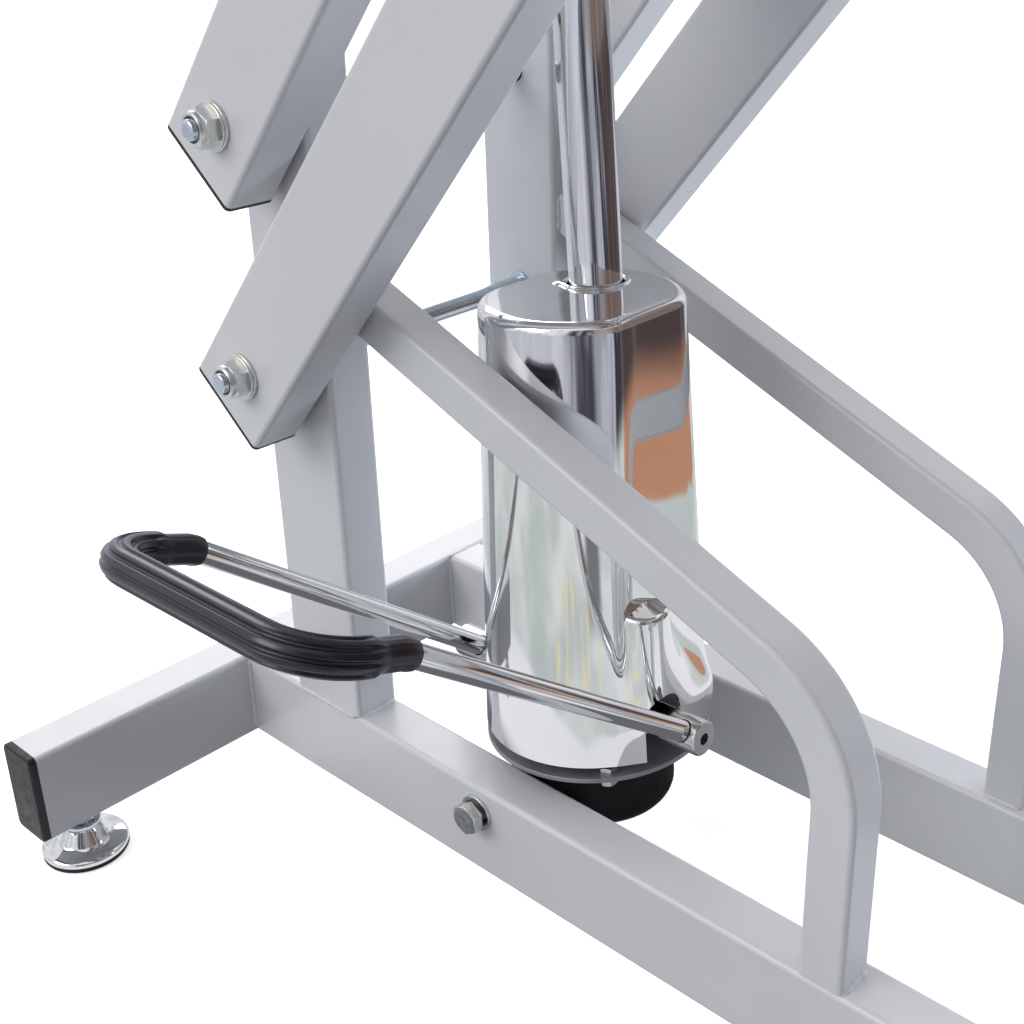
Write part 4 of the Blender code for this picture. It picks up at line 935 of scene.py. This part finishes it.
def make_pedal():
    def heading(angle):
        return Vector((0.0, -math.cos(angle), math.sin(angle)))

    front = heading(PEDAL_RISE), heading(PEDAL_LEVEL)
    rear = heading(PEDAL_RISE + PEDAL_TWIST), heading(PEDAL_LEVEL + PEDAL_TWIST)
    lay_x = spin(90, "Y")
    shaft = turned([(SHAFT_RADIUS - 0.0012, SHAFT_REAR), (SHAFT_RADIUS - 0.0004, SHAFT_REAR + 0.0004),
                    (SHAFT_RADIUS, SHAFT_REAR + 0.0012), (SHAFT_RADIUS, SHAFT_FRONT - 0.0012),
                    (SHAFT_RADIUS - 0.0004, SHAFT_FRONT - 0.0004), (SHAFT_RADIUS - 0.0012, SHAFT_FRONT)], 64)
    shaft.transform(lay_x)
    cutters = []
    for x, (rise, _) in ((ROD_REAR, rear), (ROD_FRONT, front)):
        cutter = turned([(PEDAL_ROD_RADIUS + 0.0005, -0.02), (PEDAL_ROD_RADIUS + 0.0005, 0.02)], 40)
        turn = rise.to_track_quat("Z", "X").to_matrix().to_4x4()
        cutter.transform(shift(x, 0.0, 0.0) @ turn)
        cutters.append(cutter)
    cutters.append(cylinder_along("X", 0.0034, (SHAFT_FRONT, 0.0, 0.0), 0.005))
    piece("pedal_shaft_skin", holed(shaft, cutters), STEEL, "pedal", ("pedal_shaft",), PEDAL, angle=30.0)
    screw = turned([(0.0033, 0.0), (0.0033, 0.0030), (0.0030, 0.0034)], 32)
    socket = turned([(0.0020, 0.0015), (0.0020, 0.005)], 6)
    at = PEDAL @ shift(SHAFT_FRONT - 0.0052, 0.0, 0.0) @ lay_x
    piece("pedal_set_screw", holed(screw, [socket]), DARK_STEEL, "pedal", place=at)

    corners = []
    for x, (rise, level) in ((ROD_FRONT, front), (ROD_REAR, rear)):
        start = Vector((x, 0.0, 0.0))
        bend = start + rise * PEDAL_REACH
        leg = [start - rise * 0.0085, bend, bend + level * PEDAL_LAST]
        corners += leg if x == ROD_FRONT else leg[::-1]
    path = spaced(fillet_path(corners, [0.040, PEDAL_CORNER, PEDAL_CORNER, 0.040], 12), 0.012)
    rod = bmesh.new()
    outlines = [circle(PEDAL_ROD_RADIUS, 40)] * len(path)
    outlines[0] = outlines[-1] = circle(PEDAL_ROD_RADIUS - 0.0010, 40)
    ends = [path[0] - front[0] * 0.0008, path[-1] - rear[0] * 0.0008]
    outlines = [outlines[0], outlines[1], *outlines[1:-1], outlines[1], outlines[-1]]
    sweep(rod, [ends[0], *path, ends[1]], outlines, (1.0, 0.0, 0.0))
    piece("pedal_rod_skin", rod, ROD_CHROME, "pedal", ("pedal_rod",), PEDAL)
    make_grip(corners, front, rear)


def make_grip(corners, front, rear):
    """A ribbed rubber sleeve with a plain smaller band at each end."""
    grip_corners = [corners[1] - front[0] * 0.0045, corners[1] + front[1] * 0.0022, corners[2],
                    corners[3], corners[4] + rear[1] * 0.0022, corners[4] - rear[0] * 0.0045]
    points = fillet_path(grip_corners, [0.001, PEDAL_CORNER, PEDAL_CORNER, 0.001], 16)
    points = points[:1] + points[17:-17] + points[-1:]
    path = spaced(points, 0.0035)
    total = len(path) - 1
    band = 6
    ribs, per_rib = 9, 16
    outlines = []
    for i in range(len(path)):
        near_end = min(i, total - i)
        step = max(0.0, min(1.0, near_end - band))
        radius = GRIP_END_RADIUS + (GRIP_RADIUS - GRIP_END_RADIUS) * step
        if near_end == 0:
            radius -= 0.0006
        depth = 0.0013 * max(0.0, min(1.0, (near_end - band - 1) / 2))
        ring = []
        for k in range(ribs * per_rib):
            a = 2 * math.pi * k / (ribs * per_rib)
            from_top = abs((k % per_rib) / per_rib - 0.5) * 2
            groove = max(0.0, min(1.0, (from_top - 0.50) / 0.30))
            groove = groove * groove * (3 - 2 * groove)
            ring.append((a, radius - depth * groove - 0.0002 * from_top ** 2))
        outlines.append([(r * math.cos(a), r * math.sin(a)) for a, r in ring])
    bm = bmesh.new()
    bore = circle(PEDAL_ROD_RADIUS + 0.0001, ribs * per_rib)
    frames = path_frames(path, (1.0, 0.0, 0.0))
    rings = [[p + u * x + v * y for x, y in outline] for (p, u, v), outline in zip(frames, outlines)]
    for p, u, v in (frames[-1], frames[0]):
        rings.append([p + u * x + v * y for x, y in bore])
    loft(bm, rings[:-1], low_end=False, high_end=False)
    bm.faces.ensure_lookup_table()
    start_outer = [bm.verts.new(p) for p in rings[0]]
    start_bore = [bm.verts.new(p) for p in rings[-1]]
    for i in range(len(start_outer)):
        j = (i + 1) % len(start_outer)
        bm.faces.new((start_outer[i], start_outer[j], start_bore[j], start_bore[i]))
    bmesh.ops.remove_doubles(bm, verts=bm.verts, dist=0.00001)
    piece("pedal_grip_skin", bm, GRIP_RUBBER, "pedal", ("pedal_grip",), PEDAL, angle=55.0)


def finish_inner_parts():
    """The hidden working parts keep their own shape and get real finishes."""
    for name in ("pump_cylinder", "cylinder_gland", "piston", "cam_lever", "plunger", "plunger_spring"):
        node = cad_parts[name]
        node.data.materials.clear()
        node.data.materials.append(STEEL)


# ---------------------------------------------------------------- camera, light and floor

CAMERA_PLACE = (0.476368, -0.567788, 0.613267)
CAMERA_TURN, CAMERA_DROP, CAMERA_ROLL = (math.radians(a) for a in (39.822, 25.212, 0.559))
CAMERA_LENS, CAMERA_SHIFT = 51.584, (-0.13267, -0.04059)
FLOOR_REACH, WALL_RADIUS, WALL_TOP = 12.0, 8.0, 9.0
BACKDROP_RADIUS, BACKDROP_TOP = 11.8, 11.0
# Tones of the painted reflections on the floor sheet and the walls.
DARK, LIGHT_GREY = (0.07, 0.07, 0.085), (0.56, 0.57, 0.63)
PALE_MIDDLE, PALE_START, PALE_FULL = 8.0, 66.0, 80.0


def make_camera():
    """The camera that looks down at the base from the pedal's side."""
    right = Vector((math.cos(CAMERA_TURN), math.sin(CAMERA_TURN), 0.0))
    back = Vector((math.sin(CAMERA_TURN) * math.cos(CAMERA_DROP),
                   -math.cos(CAMERA_TURN) * math.cos(CAMERA_DROP), math.sin(CAMERA_DROP)))
    up = back.cross(right)
    across = right * math.cos(CAMERA_ROLL) + up * math.sin(CAMERA_ROLL)
    upward = -right * math.sin(CAMERA_ROLL) + up * math.cos(CAMERA_ROLL)
    data = bpy.data.cameras.new("camera")
    data.lens = CAMERA_LENS
    data.shift_x, data.shift_y = CAMERA_SHIFT
    data.clip_start = 0.01
    camera = bpy.data.objects.new("camera", data)
    bpy.context.scene.collection.objects.link(camera)
    camera.matrix_world = Matrix((across, upward, back)).transposed().to_4x4()
    camera.matrix_world.translation = CAMERA_PLACE
    bpy.context.scene.camera = camera


def area_light(name, at, target, size, power, colour=(1.0, 1.0, 1.0), mirrored=True):
    data = bpy.data.lights.new(name, "AREA")
    data.shape = "RECTANGLE"
    data.size, data.size_y = size
    data.energy = power
    data.color = colour
    light = bpy.data.objects.new(name, data)
    light.location = at
    light.visible_glossy = mirrored
    light.rotation_euler = (Vector(target) - Vector(at)).to_track_quat("-Z", "Y").to_euler()
    bpy.context.scene.collection.objects.link(light)


class Nodes:
    """Small shader sums for the floor sheet and the room."""

    def __init__(self, tree):
        self.tree = tree
        tree.nodes.clear()

    def set_input(self, socket, value):
        if isinstance(value, (int, float)):
            socket.default_value = value
        elif isinstance(value, tuple):
            socket.default_value = (*value, 1.0) if len(value) == 3 else value
        else:
            self.tree.links.new(value, socket)

    def math(self, kind, a, b=0.0):
        node = self.tree.nodes.new("ShaderNodeMath")
        node.operation = kind
        self.set_input(node.inputs[0], a)
        self.set_input(node.inputs[1], b)
        return node.outputs[0]

    def times(self, a, b):
        return self.math("MULTIPLY", a, b)

    def step(self, value, low, high):
        """0 below low, 1 above high, soft between."""
        node = self.tree.nodes.new("ShaderNodeMapRange")
        node.interpolation_type = "SMOOTHSTEP"
        node.inputs["From Min"].default_value = low
        node.inputs["From Max"].default_value = high
        self.set_input(node.inputs["Value"], value)
        return node.outputs["Result"]

    def outside(self, value, middle, half, soft):
        """0 near the middle value and 1 away from it."""
        return self.step(self.math("ABSOLUTE", self.math("SUBTRACT", value, middle)), half, half + soft)

    def band(self, value, middle, half, soft):
        """1 near the middle value and 0 away from it."""
        return self.math("SUBTRACT", 1.0, self.outside(value, middle, half, soft))

    def mix(self, factor, a, b):
        node = self.tree.nodes.new("ShaderNodeMix")
        node.data_type = "RGBA"
        self.set_input(node.inputs["Factor"], factor)
        for socket in node.inputs:
            if socket.type == "RGBA":
                self.set_input(socket, {"A": a, "B": b}[socket.name])
        return [s for s in node.outputs if s.type == "RGBA"][0]

    def direction(self, output):
        """X, Y and Z, and the turn about Z in degrees."""
        node = self.tree.nodes.new("ShaderNodeTexCoord")
        split = self.tree.nodes.new("ShaderNodeSeparateXYZ")
        self.tree.links.new(node.outputs[output], split.inputs[0])
        x, y, z = split.outputs
        return x, y, z, self.times(self.math("ARCTAN2", y, x), 180 / math.pi)

    def noise(self, x, y, scale, detail):
        joined = self.tree.nodes.new("ShaderNodeCombineXYZ")
        self.set_input(joined.inputs["X"], x)
        self.set_input(joined.inputs["Y"], y)
        node = self.tree.nodes.new("ShaderNodeTexNoise")
        node.inputs["Scale"].default_value = scale
        node.inputs["Detail"].default_value = detail
        self.tree.links.new(joined.outputs[0], node.inputs["Vector"])
        return node.outputs["Fac"]

    def end(self, kind, colour, strength=1.0):
        """Ends the sum in a glow, for a world or for a surface."""
        glow = self.tree.nodes.new("ShaderNodeBackground" if kind == "World" else "ShaderNodeEmission")
        self.set_input(glow.inputs["Color"], colour)
        self.set_input(glow.inputs["Strength"], strength)
        output = self.tree.nodes.new(f"ShaderNodeOutput{kind}")
        self.tree.links.new(glow.outputs[0], output.inputs["Surface"])


def stage_object(name, bm):
    """A thing of the studio, with a material of its own."""
    mesh = bpy.data.meshes.new(name)
    bm.to_mesh(mesh)
    bm.free()
    made = bpy.data.objects.new(name, mesh)
    bpy.context.scene.collection.objects.link(made)
    finish = bpy.data.materials.new(name)
    finish.use_nodes = True
    mesh.materials.append(finish)
    return made, finish.node_tree


def level_square(size, z):
    bm = bmesh.new()
    corners = ((-size, -size), (size, -size), (size, size), (-size, size))
    bm.faces.new([bm.verts.new((x, y, z)) for x, y in corners])
    return bm


def round_wall(radius, low, high):
    return solid([flat_ring(circle(radius, 96), z) for z in (low, high)], False, False)


def plain_glow(tree, base, colour, strength):
    shader = tree.nodes["Principled BSDF"]
    shader.inputs["Base Color"].default_value = (*base, 1.0)
    shader.inputs["Emission Color"].default_value = (*colour, 1.0)
    shader.inputs["Emission Strength"].default_value = strength
    return shader


def hide_from(made, *rays):
    for ray in rays:
        setattr(made, f"visible_{ray}", False)


def make_floor():
    """The white floor."""
    floor, tree = stage_object("floor", level_square(FLOOR_REACH, 0.0))
    shader = plain_glow(tree, (0.90, 0.90, 0.90), (1.0, 1.0, 1.0), 0.55)
    shader.inputs["Roughness"].default_value = 0.9
    hide_from(floor, "glossy", "diffuse")


def pale_side(n, turn):
    """1 for the directions whose painted reflections of far floor and walls are pale, 0 for the dark ones in
    front.
    """
    return n.outside(turn, PALE_MIDDLE, PALE_START, PALE_FULL - PALE_START)


def make_reflected_floor():
    """Painted reflection: a glowing sheet that polished parts reflect in the floor's place.

    Near the middle it is dark as painted shade, then white, then green with painted yellow reflections.
    Farther out it is brown to the right, dark straight ahead, streaked elsewhere and pale at the sides and
    behind.
    """
    sheet, tree = stage_object("reflected_floor", level_square(FLOOR_REACH, -0.002))
    n = Nodes(tree)
    x, y, _, turn = n.direction("Object")
    distance = n.math("SQRT", n.math("ADD", n.times(x, x), n.times(y, y)))

    clouds = n.noise(x, y, 3.0, 3.0)
    green = n.mix(n.step(clouds, 0.35, 0.65), (0.58, 0.63, 0.62), (0.84, 0.86, 0.86))
    # Painted yellow reflections: spots in a ring across the green.
    yellow_reflection = n.noise(n.times(turn, 0.30), n.times(distance, 5.0), 1.0, 2.0)
    yellow_reflection = n.times(n.step(yellow_reflection, 0.52, 0.64), n.band(distance, 0.58, 0.13, 0.06))
    yellow_reflection = n.times(yellow_reflection, n.band(turn, -68.0, 20.0, 6.0))
    green = n.mix(n.times(yellow_reflection, 0.7), green, (0.95, 0.82, 0.45))

    white = n.mix(n.step(distance, 0.23, 0.29), (0.16, 0.16, 0.18), (0.92, 0.92, 0.97))
    aside = n.math("MINIMUM", n.math("ABSOLUTE", n.math("ADD", turn, 62.0)), 60.0)
    edge = n.math("SUBTRACT", distance, n.times(aside, 0.0016))
    tone = n.mix(n.step(edge, 0.34, 0.37), white, green)

    # Painted brown reflection to the right and a painted dark band straight ahead.
    ragged = n.math("ADD", distance, n.times(n.noise(x, y, 6.0, 3.0), 0.10))
    brown = n.times(n.band(turn, 50.0, 26.0, 8.0), n.step(ragged, 0.73, 0.76))
    tone = n.mix(brown, tone, (0.58, 0.29, 0.18))
    dark = n.times(n.band(turn, -48.0, 4.0, 5.0), n.step(distance, 0.55, 0.70))
    tone = n.mix(n.times(dark, 0.85), tone, (0.12, 0.12, 0.14))

    # Farther out: painted reflections of streaked, brown, dark and pale surroundings.
    streaks = n.noise(n.times(turn, 0.08), n.times(distance, 0.25), 1.0, 4.0)
    far_tone = n.mix(n.step(streaks, 0.46, 0.64), (0.045, 0.045, 0.060), (0.52, 0.53, 0.62))
    far_brown = n.mix(n.step(distance, 1.00, 1.20), (0.46, 0.25, 0.165), (0.085, 0.060, 0.058))
    bands = ((50.0, 30.0, 12.0, 0.9, far_brown), (-48.0, 6.0, 7.0, 0.7, DARK),
             (-26.0, 9.0, 6.0, 0.6, LIGHT_GREY))
    for middle, half, soft, share, colour in bands:
        far_tone = n.mix(n.times(n.band(turn, middle, half, soft), share), far_tone, colour)
    far_tone = n.mix(n.times(pale_side(n, turn), 0.85), far_tone, (0.72, 0.72, 0.80))
    n.end("Material", n.mix(n.step(distance, 0.98, 1.35), tone, far_tone))
    only_reflected(sheet)


def only_reflected(made):
    hide_from(made, "camera", "diffuse", "shadow", "transmission", "volume_scatter")


def make_walls():
    """Painted reflection of the room's walls, a glowing ring that only polished parts see: dark in front,
    pale behind.
    """
    walls, tree = stage_object("reflected_walls", round_wall(WALL_RADIUS, -0.002, WALL_TOP))
    n = Nodes(tree)
    _, _, z, turn = n.direction("Object")
    streaks = n.noise(n.times(turn, 0.09), n.times(z, 0.05), 1.0, 4.0)
    front = n.mix(n.step(streaks, 0.44, 0.62), (0.05, 0.05, 0.06), (0.34, 0.34, 0.38))
    # Painted brown reflection in front.
    front = n.mix(n.times(n.band(turn, 25.0, 55.0, 15.0), 0.75), front, (0.27, 0.19, 0.165))
    front = n.mix(n.times(n.band(turn, -26.0, 9.0, 6.0), 0.35), front, LIGHT_GREY)
    pale = n.mix(n.step(streaks, 0.40, 0.60), (0.66, 0.67, 0.72), (0.94, 0.94, 0.98))
    tone = n.mix(pale_side(n, turn), front, pale)
    n.end("Material", n.mix(n.step(z, 6.0, WALL_TOP), tone, n.mix(0.5, tone, (0.85, 0.86, 0.90))))
    only_reflected(walls)


def make_backdrop():
    """A pale ring behind the table that only the camera sees."""
    ring, tree = stage_object("backdrop", round_wall(BACKDROP_RADIUS, -0.1, BACKDROP_TOP))
    plain_glow(tree, (0.0, 0.0, 0.0), (0.86, 0.87, 0.89), 1.0)
    hide_from(ring, "diffuse", "glossy", "shadow", "transmission", "volume_scatter")


def make_light():
    """A bright room that is dimmer low down and towards +X, with soft lights above and in front."""
    world = bpy.data.worlds.new("studio")
    bpy.context.scene.world = world
    world.use_nodes = True
    n = Nodes(world.node_tree)
    x, y, z, _ = n.direction("Generated")
    up = n.step(z, -0.15, 0.75)
    level = n.math("ADD", 0.42, n.times(up, 0.66))
    side = n.math("SUBTRACT", 1.0, n.math("ADD", n.times(x, 0.60), n.times(y, 0.06)))
    n.end("World", n.mix(up, (0.90, 0.94, 1.0), (0.985, 0.985, 1.0)), n.times(level, side))
    area_light("front", (-0.9, -2.4, 1.7), (0.0, 0.0, 0.25), (1.6, 1.2), 25.0)
    area_light("window", (-1.9, 1.1, 1.6), (0.0, 0.0, 0.25), (1.6, 1.2), 16.0)
    area_light("low", (0.5, 1.4, 0.25), (-0.1, 0.1, 0.3), (1.2, 0.5), 27.0, (0.80, 0.87, 1.0), False)
    bpy.context.scene.view_settings.view_transform = "Standard"


make_camera()
make_light()
make_floor()
make_reflected_floor()
make_walls()
make_backdrop()
make_base_tubes()
make_base_welds()
make_axle_rings()
make_arms()
make_table_frame()
make_tabletop()
make_cover()
make_pump_bottom()
make_piston_rod()
make_pedal()
finish_inner_parts()
